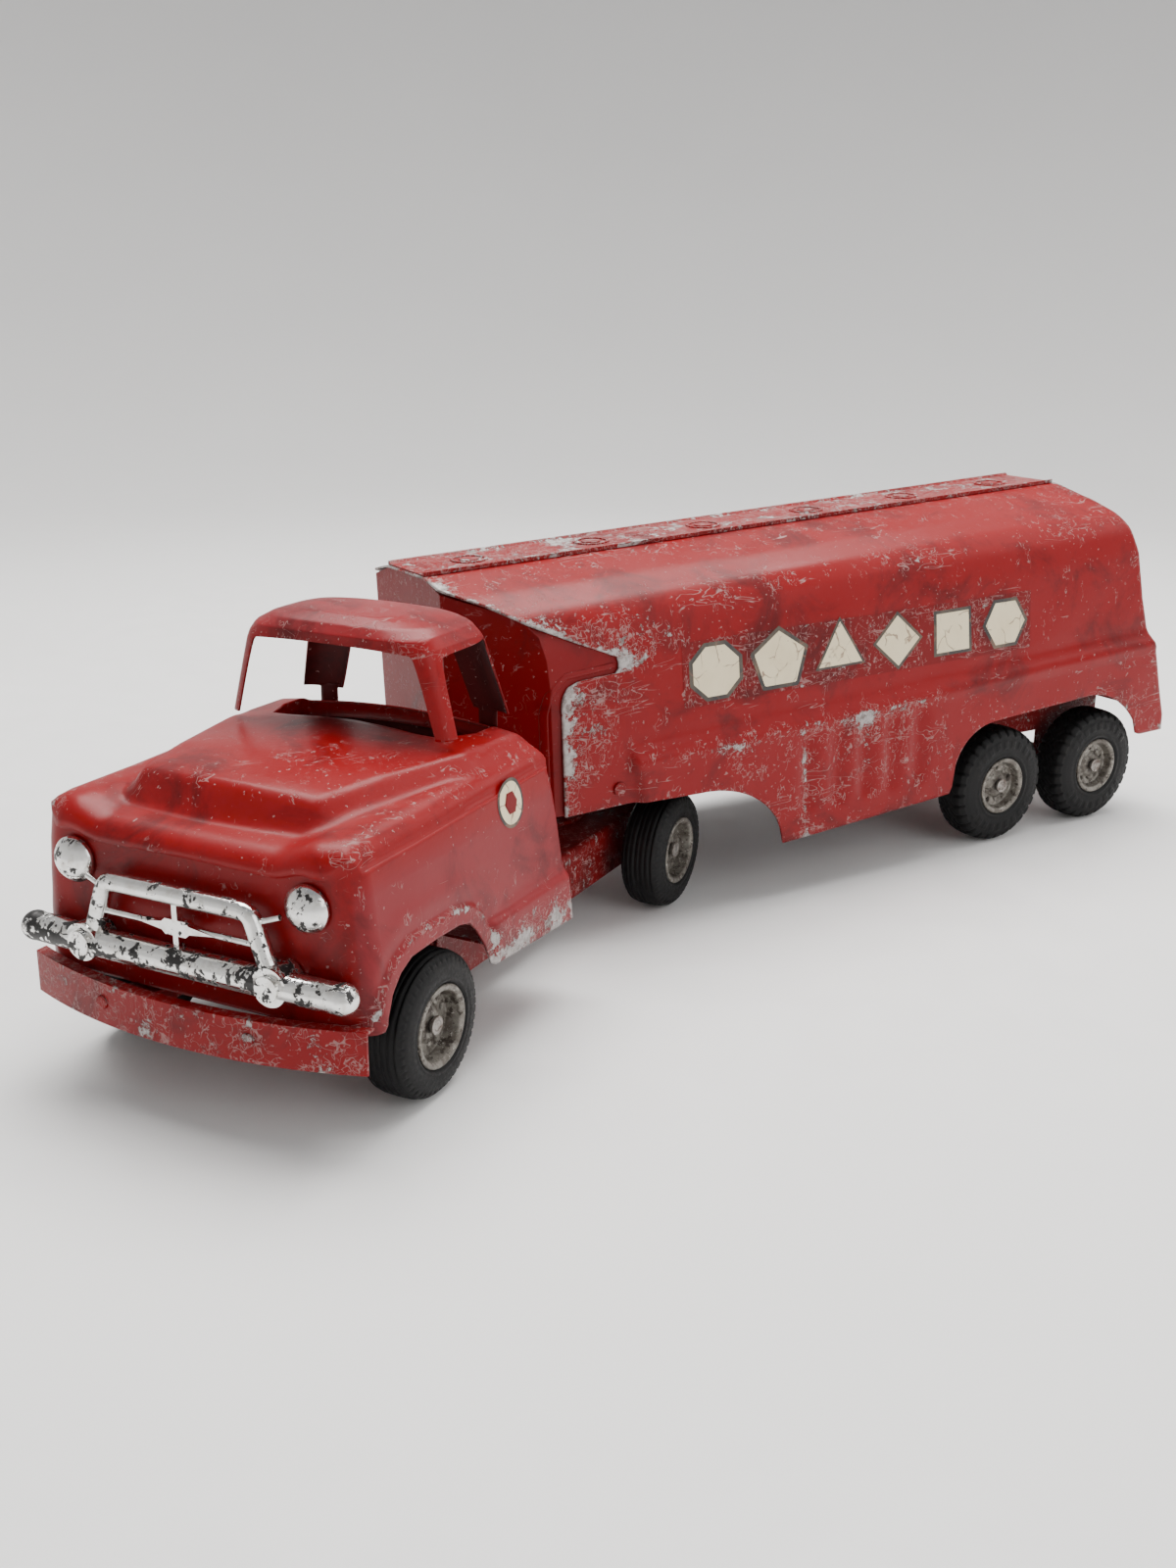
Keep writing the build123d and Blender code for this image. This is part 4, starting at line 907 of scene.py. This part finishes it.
def make_cab():
    """Cab stamping: rings of points from the compartment's rim out over the deck, over the shoulder and
    down the walls."""
    loop = cab_loops()
    base = loop(CAB_SHOULDER)
    count = len(base)
    opening = np.array([(109.0, 0), (109.0, 46.0), (141.0, 45.5), (144.0, 30.0), (141.8, 0)])
    # the rim of the compartment seen from its middle, in the same order as the outer loop
    middle = np.array([126.0, 0.0])
    hole_half = rounded(np.vstack([opening, opening[::-1][1:-1] * [1, -1]]), 2.5, closed=True)
    hole_turn = np.unwrap(np.arctan2(hole_half[:, 1], hole_half[:, 0] - middle[0]))
    order = np.argsort(hole_turn % (2 * math.pi))
    ring_turn = (hole_turn % (2 * math.pi))[order]
    ring = hole_half[order]
    from_middle = base[:, 0] - 150
    ahead = np.where(from_middle > 0, from_middle * 0.16 + 17, from_middle * 17 / 50.0)
    inner_turn = np.arctan2(base[:, 1] * 0.62, ahead)
    inner_turn = inner_turn % (2 * math.pi)
    inner = np.stack([np.interp(inner_turn, ring_turn, ring[:, 0], period=2 * math.pi),
                      np.interp(inner_turn, ring_turn, ring[:, 1], period=2 * math.pi)], 1)
    rings = []
    top_rows = 46
    for drop in (7.0, 3.5, 1.0):
        rings.append(np.column_stack([inner, cab_top(inner[:, 0], inner[:, 1]) - drop]))
    out = base.copy()
    front_now = cab_front(base[:, 1], np.full(count, 104.0))
    out[:, 0] = base[:, 0] + (front_now - CAB_NOSE) * ease((base[:, 0] - NOSE_START)
                                                           / (CAB_NOSE - NOSE_START))
    for k in range(top_rows + 1):
        t = k / top_rows
        t = 1 - (1 - t) ** 1.35
        flat = inner + (out - inner) * t
        z = cab_top(flat[:, 0], flat[:, 1])
        rings.append(np.column_stack([flat, z]))
    edge_z = rings[-1][:, 2]
    wall_rows = 54
    for k in range(1, wall_rows + 1):
        t = k / wall_rows
        guess = loop(edge_z * (1 - t) + CAB_LOW * t)
        bottom_side = np.where(guess[:, 0] < 161.5, 34.0 + (guess[:, 0] - 94.0) * 0.063, 41.5)
        in_arch = (guess[:, 0] >= 161.5) & (guess[:, 0] <= 232.0)
        bottom_side = np.where(in_arch, np.interp(guess[:, 0], ARCH[1:-1, 0], ARCH[1:-1, 1]), bottom_side)
        bottom = np.where(np.abs(guess[:, 1]) > 58.0, bottom_side, np.where(guess[:, 0] > 170, CAB_LOW, 36.5))
        z = edge_z * (1 - t) + bottom * t
        at = loop(z)
        shift = ease((at[:, 0] - NOSE_START) / (CAB_NOSE - NOSE_START)) * (cab_front(at[:, 1], z) - CAB_NOSE)
        at[:, 0] = at[:, 0] + shift
        facing = ease((np.abs(at[:, 1]) - (cab_half(z) - 6.0)) / 5.0)
        at[:, 1] = at[:, 1] + np.sign(at[:, 1]) * side_relief(at[:, 0], z) * facing
        rings.append(np.column_stack([at, z]))
    points = np.array(rings)
    quads = grid_quads(points.shape[0], count, wrap_columns=True)
    fade = 0.15 + 0.75 * ease((np.abs(points[..., 1]) - 64) / 4) * ease((100 - points[..., 2]) / 14)
    fade = np.where(points[..., 0] > 240, 0.1, fade)
    red = red_paint("cab enamel", wear=0.9, scratches=0.8, gloss=0.28)
    piece = make_piece("cab_stamping", turned(points), quads, red, "tractor", ["cab_body"],
                       cab_wear(points), fade)
    # the wall's inside takes the enamel darkened to 0.3: painted shade
    add_thickness(piece, SHEET * MM, inside=inside_shade_paint())


def roof_loop(z, stations):
    """The roof stamping's plan at a height: a rounded rectangle that leans in as it rises, at given
    stations from 0 to 1."""
    rear = np.interp(z, [119.0, 150.0, 158.0, 160.6, 162.2], [103.2, 107.2, 109.5, 112.5, 118.0])
    front = np.interp(z, [119.0, 150.0, 156.0, 159.5, 162.2], [155.9, 156.6, 156.4, 153.0, 147.0])
    half = np.interp(z, [119.0, 148.0, 153.0, 157.0, 159.8, 161.3, 162.2],
                     [51.9, 44.4, 43.0, 40.6, 36.0, 30.0, 22.0])
    turn = stations * 2 * math.pi
    power = 2.0 / np.interp(z, [119.0, 150.0, 162.2], [9.0, 6.5, 3.4])
    c, s = np.cos(turn), np.sin(turn)
    x = (rear + front) / 2 - (front - rear) / 2 * np.sign(c) * np.abs(c) ** power
    bow = 1.3 * (1 - s ** 2) * (c < 0)
    return x + bow * 0.6, half * np.sign(s) * np.abs(s) ** power


def make_roof():
    """Roof stamping: superellipse rings from the crown down, ending at the window heads between the four
    pillars."""
    y_to_turn = np.linspace(0, 0.5, 4000)
    px, py = roof_loop(135.0, y_to_turn)

    def station(target, by_y, front):
        pick = (px > 129.5) if front else (px <= 129.5)
        value = np.where(pick, py if by_y else px, 1e9)
        return y_to_turn[np.argmin(np.abs(value - target))]

    rear_in, rear_out = station(27.0, True, False), station(109.2, False, False)
    front_out, front_in = station(148.0, False, True), station(41.5, True, True)
    # window heads along half of the loop: rear window, rear pillar, side window, front pillar, windscreen
    knots, steep, turn_in = [], 0.0006, 0.010
    for low, high, top_low, top_high in ((0.0, rear_in, 151.0, 151.0), (rear_out, front_out, 151.6, 149.8),
                                         (front_in, 0.5, 151.2, 152.4)):
        if low > 0:
            knots += [(low - steep, 119.9), (low, 124.0), (low + steep, 140.0),
                      (low + turn_in * 0.35, top_low - 2.2), (low + turn_in, top_low)]
        else:
            knots += [(0.0, top_low)]
        if high < 0.5:
            knots += [(high - turn_in, top_high), (high - turn_in * 0.35, top_high - 2.2),
                      (high - steep, 140.0), (high, 124.0), (high + steep, 119.9)]
        else:
            knots += [(0.5, top_high)]
    knots = np.array(sorted(knots))
    close = [np.linspace(k - 0.004, k + 0.012, 12) for k in (rear_out, front_in)]
    half = np.unique(np.concatenate([np.linspace(0, 0.5, 150), knots[:, 0]] + close))
    half = half[(half >= 0) & (half <= 0.5)]
    stations = np.concatenate([half, 1 - half[1:-1][::-1]])
    head = np.interp(np.minimum(stations, 1 - stations), knots[:, 0], knots[:, 1])
    rings = []
    for inward in np.linspace(0.04, 0.96, 12):
        x, y = roof_loop(ROOF_CROWN, stations)
        middle = 132.5
        z = ROOF_CROWN + 0.35 * (1 - inward ** 2)
        rings.append(np.stack([middle + (x - middle) * inward, y * inward, z + 0 * x], 1))
    for k in range(0, 27):
        t = k / 26.0
        z = ROOF_CROWN * (1 - t) + WINDOW_HEAD * t
        x, y = roof_loop(z, stations)
        rings.append(np.stack([x, y, np.full(len(x), z)], 1))
    for k in range(1, 31):
        t = k / 30.0
        z = WINDOW_HEAD * (1 - t) + np.minimum(head, WINDOW_HEAD - 0.1) * t
        x, y = roof_loop(z, stations)
        rings.append(np.stack([x, y, z], 1))
    points = np.array(rings)
    count = len(stations)
    quads = grid_quads(len(rings), count, wrap_columns=True).tolist()
    first = list(range(count))
    x, y, z = points[..., 0], np.abs(points[..., 1]), points[..., 2]
    wear = 0.18 + 0.55 * bump(z - 155, 4.0) * (0.5 + 0.5 * np.sin(x / 5.0)) * ease((x - 140) / 14)
    wear += 0.35 * bump(z - head[None], 1.4)
    wear += 0.4 * bump(np.hypot(x - 153, y - 40), 9.0) * ease((z - 146) / 8) + 0.2 * ease((z - 160) / 2)
    # the roof's enamel is lightened to 1.05: painted light on the topmost surface
    red = red_paint("roof enamel painted light", 0.8, 0.6, 0.3, 1.05)
    piece = make_piece("roof_stamping", turned(points), quads + [first[::-1]], red, "tractor", ["cab_roof"],
                       wear, 0.25 + 0.45 * ease((z - 150) / 8))
    # the wall's inside takes the enamel darkened to 0.3: painted shade
    add_thickness(piece, SHEET * MM, inside=inside_shade_paint())
    for side_name, side in SIDES:
        # foot of each rear pillar: a narrow tab that drops through the deck, in the darkened inside enamel
        # (painted shade)
        y, z = np.meshgrid(np.array([34.5, 36.2, 37.6, 39.4, 41.0, 42.6]), np.linspace(113.0, 121.5, 9))
        y = 38.5 + (y - 38.5) * (1.0 + 0.5 * ease((z - 119.6) / 1.8))
        tab = np.stack([np.full(y.shape, 104.2), side * y, z], -1)
        foot = make_piece(f"roof_tab_{side_name}", turned(tab), grid_quads(9, 6, flip=side < 0),
                          inside_shade_paint(),
                          "tractor", wear=0.3)
        add_thickness(foot, SHEET * MM, 0.0)


# ---------------------------------------------------------------- wheels

def lathe(profile, turns):
    """A profile of (distance inboard, radius) carried round the X axis: x, r cos t, r sin t."""
    t = np.linspace(0, 2 * math.pi, turns + 1)[:-1]
    x = np.broadcast_to(profile[:, 0][:, None], (len(profile), turns))
    r = np.broadcast_to(profile[:, 1][:, None], (len(profile), turns))
    return x.copy(), r.copy(), np.broadcast_to(t, x.shape).copy()


def wheel_points(x, r, t, axle_x, track, radius, side):
    """Puts a lathe's points on the axle: inboard runs from the outer face towards the middle."""
    return np.stack([axle_x + r * np.cos(t), side * (track - x), radius + r * np.sin(t)], -1)


def tyre_surface(radius, rim, lugged):
    """Tyre: a rounded section with tread cut into it, as blocks on the tandem and ribs on the tractor."""
    flank = radius - rim
    line = [(2.8, rim - 0.5), (0.6, rim + 0.1), (-0.2, rim + 1.2), (-0.45, rim + 0.35 * flank),
            (0.0, rim + 0.6 * flank),
            (0.9, radius - 2.5), (2.4, radius - 0.8), (5.0, radius - 0.15), (TYRE_WIDTH / 2, radius),
            (TYRE_WIDTH - 5.0, radius - 0.15), (TYRE_WIDTH - 2.4, radius - 0.8),
            (TYRE_WIDTH - 0.9, radius - 2.5),
            (TYRE_WIDTH - 0.3, rim + 0.6 * flank), (TYRE_WIDTH - 0.3, rim + 0.35 * flank),
            (TYRE_WIDTH - 1.0, rim + 0.6),
            (TYRE_WIDTH - 2.8, rim - 0.5)]
    profile = rounded(line, 0.9, 0.22)[::2]
    turns = 360
    x, r, t = lathe(profile, turns)
    across = np.abs(x - TYRE_WIDTH / 2) / (TYRE_WIDTH / 2)
    crown = ease((r - (radius - 4.2)) / 2.0)
    if lugged:
        wave = (t * 30 / (2 * math.pi) + 0.25 * np.sign(x - TYRE_WIDTH / 2)) % 1.0
        notch = ease((0.17 - np.abs(wave - 0.5)) / 0.09) * ease((across - 0.42) / 0.12)
        zig = TYRE_WIDTH / 2 + 1.1 * np.sin(t * 30)
        grooves = sum(ease((0.5 - np.abs(x - zig - off)) / 0.25) for off in (-3.2, 0.0, 3.2))
        cut = np.maximum(1.35 * notch, 0.9 * np.clip(grooves, 0, 1)) * crown
    else:
        grooves = sum(ease((0.42 - np.abs(x - TYRE_WIDTH / 2 - off)) / 0.22) for off in (-6.2, -3.7, -1.2,
                                                                                         1.2, 3.7, 6.2))
        wave = (t * 48 / (2 * math.pi)) % 1.0
        nick = ease((0.16 - np.abs(wave - 0.5)) / 0.08) * ease((across - 0.80) / 0.08)
        cut = np.maximum(0.8 * np.clip(grooves, 0, 1), 0.8 * nick) * crown
    r = r - cut
    # raised rings and, on the tandem, plain raised bars on the outer sidewall
    outer_side = ease((2.0 - x) / 1.5)
    height = (r - rim) / flank
    relief = 0.30 * bump(height - 0.14, 0.045) + 0.22 * bump(height - 0.80, 0.035)
    if lugged:
        bars = ease((0.30 - np.abs((t * 26 / (2 * math.pi)) % 1.0 - 0.5)) / 0.06)
        sector = ease((0.33 - np.abs((t * 2 / (2 * math.pi)) % 1.0 - 0.5)) / 0.02)
        relief = relief + 0.32 * bars * sector * ease((0.15 - np.abs(height - 0.50)) / 0.04)
    x = x - relief * outer_side
    return x, r, t


def hub_surface(rim, deep):
    """Pressed wheel: a rim bead, a dish with five windows and a ring of bolt heads, and a raised centre."""
    dish = deep
    line = [(TYRE_WIDTH - 2.6, rim - 0.7), (1.6, rim - 0.7), (0.15, rim - 0.2), (0.0, rim - 0.9),
            (0.6, rim - 1.9), (dish - 0.4, rim - 3.0),
            (dish, rim - 4.0), (dish, 7.2), (dish - 1.4, 5.6), (dish - 1.8, 4.8), (dish - 1.9, 2.9),
            (dish - 1.2, 2.5)]
    profile = rounded(line, 0.45, 0.16)[::2]
    turns = 200
    x, r, t = lathe(profile, turns)
    ring = 0.62 * rim
    where_x, where_y = r * np.cos(t), r * np.sin(t)
    flat = ease((x - (dish - 1.0)) / 0.5)
    for k in range(5):
        a = 2 * math.pi * k / 5 + 0.3
        near = np.hypot(where_x - ring * math.cos(a), where_y - ring * math.sin(a))
        x = x + 2.6 * ease((1.55 - near) / 0.5) * flat
        b = a + math.pi / 5
        bolt = np.hypot(where_x - 0.53 * rim * math.cos(b), where_y - 0.53 * rim * math.sin(b))
        x = x - 0.9 * ease((1.15 - bolt) / 0.35) * flat
    return x, r, t


def make_wheels():
    """Eight tyres and eight pressed wheels, and a domed cap on each axle end."""
    for name, axle_x, track, radius, rim, on_tractor in WHEELS:
        place = turned if on_tractor else level
        for side_name, side in SIDES:
            body = f"{name}_wheel_{side_name}"
            x, r, t = tyre_surface(radius, rim, not on_tractor)
            points = wheel_points(x, r, t, axle_x, track, radius, side)
            quads = grid_quads(*x.shape, wrap_columns=True, wrap_rows=True)
            tyre = make_piece(f"{name}_tyre_{side_name}_piece", place(points), quads, rubber(), body,
                              [f"{name}_tyre_{side_name}"])
            outward(tyre)
            x, r, t = hub_surface(rim, 6.6 if on_tractor else 5.0)
            points = wheel_points(x, r, t, axle_x, track, radius, side)
            hub = make_piece(f"{name}_wheel_{side_name}_piece", place(points),
                             grid_quads(*x.shape, wrap_columns=True),
                             wheel_steel(), body, [f"{name}_wheel_{side_name}"])
            outward(hub)
            add_thickness(hub, 0.5 * MM, 1.0)
        material = dull_steel()
        for node in (f"{name}_axle", f"{name}_axle_caps"):
            refine(node, "tractor" if on_tractor else "trailer", material, 0.3)


def outward(piece):
    """Recalculates normals to face outwards."""
    shell = bmesh.new()
    shell.from_mesh(piece.data)
    bmesh.ops.recalc_face_normals(shell, faces=shell.faces)
    shell.to_mesh(piece.data)
    shell.free()


# ---------------------------------------------------------------- properties and operators

class TankerColours(bpy.types.PropertyGroup):
    paint: bpy.props.FloatVectorProperty(name="Paint", description="Sound red enamel", subtype="COLOR",
                                         size=3, default=(0.215, 0.0020, 0.0034))
    faded: bpy.props.FloatVectorProperty(name="Faded paint",
                                         description="Enamel that has gone pink and chalky", subtype="COLOR",
                                         size=3,
                                         default=(0.205, 0.013, 0.017))
    deep: bpy.props.FloatVectorProperty(name="Deep paint", description="Dark, grimy enamel", subtype="COLOR",
                                        size=3, default=(0.026, 0.0014, 0.0020))
    bare_metal: bpy.props.FloatVectorProperty(name="Bare metal", description="Steel where the enamel is gone",
                                              subtype="COLOR", size=3,
                                              default=(0.27, 0.25, 0.24))
    plating: bpy.props.FloatVectorProperty(name="Plating",
                                           description="Bright plating on the guard and lamps",
                                           subtype="COLOR", size=3,
                                           default=(0.83, 0.83, 0.81))
    floor: bpy.props.FloatVectorProperty(name="Floor", description="Pale studio floor and backdrop",
                                         subtype="COLOR", size=3, default=(0.82, 0.815, 0.81))


class TankerSizes(bpy.types.PropertyGroup):
    sweep_radius: bpy.props.FloatProperty(name="Sweep radius",
                                          description="Where the floor starts to turn up into the backdrop",
                                          unit="LENGTH",
                                          default=1.3, min=0.8)
    key_power: bpy.props.FloatProperty(name="Key light",
                                       description="Power of the large light above, in watts", default=58.0,
                                       min=0.0)
    fill_power: bpy.props.FloatProperty(name="Fill light",
                                        description="Power of the light beside the viewer, in watts",
                                        default=8.0, min=0.0)


CAMERA_RIGHT = (-0.8414087, 0.5402918, 0.0107796)
CAMERA_UP = (-0.1540947, -0.2589991, 0.9535063)
CAMERA_AHEAD = (-0.5179636, -0.8006273, -0.3011802)
CAMERA_AT = (0.3746112, 0.6307906, 0.2854582)
CAMERA_LENS = 36.0 * 1642.0215 / 1600.0


class TANKER_OT_stage(bpy.types.Operator):
    """Floor that sweeps up into a backdrop, soft lights, and the camera"""
    bl_idname = "tanker.stage"
    bl_label = "Stage and camera"

    def execute(self, context):
        sizes, colours = context.scene.tanker_sizes, context.scene.tanker_colours
        # bowl: flat disc, then a quarter-round sweep up into a wall
        inner = np.linspace(0.02, sizes.sweep_radius, 12)
        turn = np.linspace(0, math.pi / 2, 16)[1:]
        bend = 1.3
        radius = np.concatenate([inner, sizes.sweep_radius + bend * np.sin(turn),
                                 np.full(6, sizes.sweep_radius + bend)])
        height = np.concatenate([np.zeros(12), bend * (1 - np.cos(turn)), bend + np.linspace(0.4, 3.0, 6)])
        t = np.linspace(0, 2 * math.pi, 129)[:-1]
        points = np.stack([radius[:, None] * np.cos(t) - 0.1, radius[:, None] * np.sin(t),
                           height[:, None] + 0 * t], -1)
        quads = grid_quads(len(radius), t.size, wrap_columns=True).tolist()
        mesh = bpy.data.meshes.new("studio_floor")
        mesh.from_pydata(points.reshape(-1, 3).tolist(), [], quads + [list(range(t.size))[::-1]])
        mesh.shade_smooth()
        floor = bpy.data.objects.new("studio_floor", mesh)
        context.scene.collection.objects.link(floor)

        def build(g, shader):
            where = object_place(g)
            tone = g.mix(g.ramp(g.noise(3.0, 3.0, 0.5, where), 0.3, 0.7, 0.0, 0.3),
                         tuple(colours.floor) + (1,), (0.77, 0.765, 0.765, 1))
            g.feed(shader.inputs["Base Color"], tone)
            g.feed(shader.inputs["Roughness"], g.ramp(g.noise(40.0, 4.0, 0.6, where), 0.3, 0.7, 0.45, 0.6))
        mesh.materials.append(simple_finish("studio paper", build))
        world = bpy.data.worlds.new("studio")
        context.scene.world = world
        world.use_nodes = True
        world.node_tree.nodes["Background"].inputs["Color"].default_value = (0.93, 0.95, 1.0, 1)
        world.node_tree.nodes["Background"].inputs["Strength"].default_value = 0.36
        for name, at, size, power, tint in (
                ("key", (-0.25, -0.30, 1.45), (1.5, 1.1), sizes.key_power, (1.0, 0.985, 0.96)),
                ("fill", (-0.55, 1.5, 0.85), (1.4, 1.0), sizes.fill_power, (1.0, 1.0, 1.0)),
                ("side", (-1.5, 0.4, 1.0), (1.0, 1.0), sizes.fill_power * 0.8, (1.0, 0.99, 0.97))):
            light = bpy.data.lights.new(name, "AREA")
            light.shape, light.size, light.size_y, light.energy, light.color = "RECTANGLE", size[0], size[1], power, tint
            lamp = bpy.data.objects.new(name, light)
            lamp.location = at
            lamp.rotation_mode = "QUATERNION"
            lamp.rotation_quaternion = (Vector((-0.08, 0.0, 0.06)) - Vector(at)).to_track_quat("-Z", "Y")
            context.scene.collection.objects.link(lamp)
        camera = bpy.data.objects.new("camera", bpy.data.cameras.new("camera"))
        camera.data.sensor_fit, camera.data.sensor_width, camera.data.sensor_height = "AUTO", 36.0, 36.0
        camera.data.lens = CAMERA_LENS
        camera.data.clip_start, camera.data.clip_end = 0.01, 50.0
        turn = Matrix((CAMERA_RIGHT, CAMERA_UP, tuple(-v for v in CAMERA_AHEAD))).transposed()
        camera.matrix_world = Matrix.Translation(CAMERA_AT) @ turn.to_4x4()
        context.scene.collection.objects.link(camera)
        context.scene.camera = camera
        return {"FINISHED"}


class TANKER_OT_tank(bpy.types.Operator):
    """Tank sheet, nose and tail panels, catwalk and screws"""
    bl_idname = "tanker.tank"
    bl_label = "Tank"

    def execute(self, context):
        make_tank_shell()
        red = red_paint()
        # the nose panel's enamel is darkened to 0.8: painted shade, as the nose sits in shadow
        refine("nose_panel", "trailer", red_paint("nose enamel painted shade", 0.6, 0.5, 0.34, 0.8), 0.3, 2, nose_wear, 0.1)
        make_nose_beads()
        refine("rear_panel", "trailer", red, 0.3, 2, 0.35, 0.2)
        refine("catwalk", "trailer", red, 0.25, 2, 0.75, 0.3)
        refine("shell_screws", "trailer", red, 0.3, 2, 0.5, 0.2)
        return {"FINISHED"}


class TANKER_OT_markings(bpy.types.Operator):
    """Plain shapes on the tank and doors"""
    bl_idname = "tanker.markings"
    bl_label = "Markings"

    def execute(self, context):
        make_markings()
        return {"FINISHED"}


class TANKER_OT_cab(bpy.types.Operator):
    """Cab stamping, roof and bumper"""
    bl_idname = "tanker.cab"
    bl_label = "Cab"

    def execute(self, context):
        make_cab()
        make_roof()
        red = red_paint()
        refine("front_bumper", "tractor", red, 0.35, 3, 0.6, 0.3)
        refine("bumper_brackets", "tractor", red, 0.2, 2, 0.4, 0.0)
        refine("bumper_rivets", "tractor", red, 0.5, 3, 0.9, 0.0)
        return {"FINISHED"}


class TANKER_OT_bright(bpy.types.Operator):
    """Plated grille guard and headlights"""
    bl_idname = "tanker.bright"
    bl_label = "Guard and headlights"

    def execute(self, context):
        def ends(at):
            p = unturned(at)
            lamps = np.minimum(np.hypot(np.abs(p[:, 1]) - 40.9, p[:, 2] - 59.1), 30)
            return np.clip(0.18 + 0.75 * ease((-p[:, 1] - 62) / 5) + 0.30 * ease((p[:, 1] - 62) / 5) + 0.45
                           * bump(lamps, 6.5), 0, 1.4)
        refine("grille_guard", "tractor", plating(), 0.25, 2, ends, 0.0)
        for side in ("left", "right"):
            refine(f"headlight_{side}", "tractor", plating(), 0.4, 3, 0.30, 0.0)
        return {"FINISHED"}


class TANKER_OT_chassis(bpy.types.Operator):
    """Frame, fifth wheel, bolster, brackets and king pin"""
    bl_idname = "tanker.chassis"
    bl_label = "Chassis"

    def execute(self, context):
        # the frame and running gear under the body get enamel darkened to 0.8: painted shade
        red = red_paint("chassis enamel painted shade", 1.0, 1.0, 0.4, 0.8)
        for node, body in (("tractor_frame", "tractor"), ("fifth_wheel_plate", "tractor"),
                           ("cab_mounts", "tractor"),
                           ("frame_rivets", "tractor"), ("front_bolster", "trailer"),
                           ("coupling_cup", "trailer"),
                           ("tandem_bracket", "trailer"), ("cross_straps", "trailer")):
            refine(node, body, red, 0.25, 2, 0.55, 0.0)
        for node in ("king_pin", "king_pin_clip"):
            refine(node, "trailer", dull_steel(), 0.3, 2)
        return {"FINISHED"}


class TANKER_OT_wheels(bpy.types.Operator):
    """Tyres, pressed wheels and axles"""
    bl_idname = "tanker.wheels"
    bl_label = "Wheels"

    def execute(self, context):
        make_wheels()
        return {"FINISHED"}


OPERATORS = (TANKER_OT_stage, TANKER_OT_tank, TANKER_OT_markings, TANKER_OT_cab, TANKER_OT_bright,
             TANKER_OT_chassis, TANKER_OT_wheels)


class TANKER_PT_panel(bpy.types.Panel):
    """Lists the tanker's steps, sizes and colours"""
    bl_idname = "TANKER_PT_panel"
    bl_label = "Toy tanker"
    bl_space_type = "VIEW_3D"
    bl_region_type = "UI"
    bl_category = "Tanker"

    def draw(self, context):
        for group in (context.scene.tanker_sizes, context.scene.tanker_colours):
            for key in group.__annotations__:
                self.layout.prop(group, key)
        for operator in OPERATORS:
            self.layout.operator(operator.bl_idname)


CLASSES = (TankerColours, TankerSizes, *OPERATORS, TANKER_PT_panel)


def register():
    for each in CLASSES:
        bpy.utils.register_class(each)
    bpy.types.Scene.tanker_colours = bpy.props.PointerProperty(type=TankerColours)
    bpy.types.Scene.tanker_sizes = bpy.props.PointerProperty(type=TankerSizes)


def unregister():
    del bpy.types.Scene.tanker_sizes
    del bpy.types.Scene.tanker_colours
    for each in reversed(CLASSES):
        bpy.utils.unregister_class(each)


def main():
    register()
    for operator in OPERATORS:
        area, title = operator.bl_idname.split(".")
        getattr(getattr(bpy.ops, area), title)()


if __name__ == "__main__":
    main()
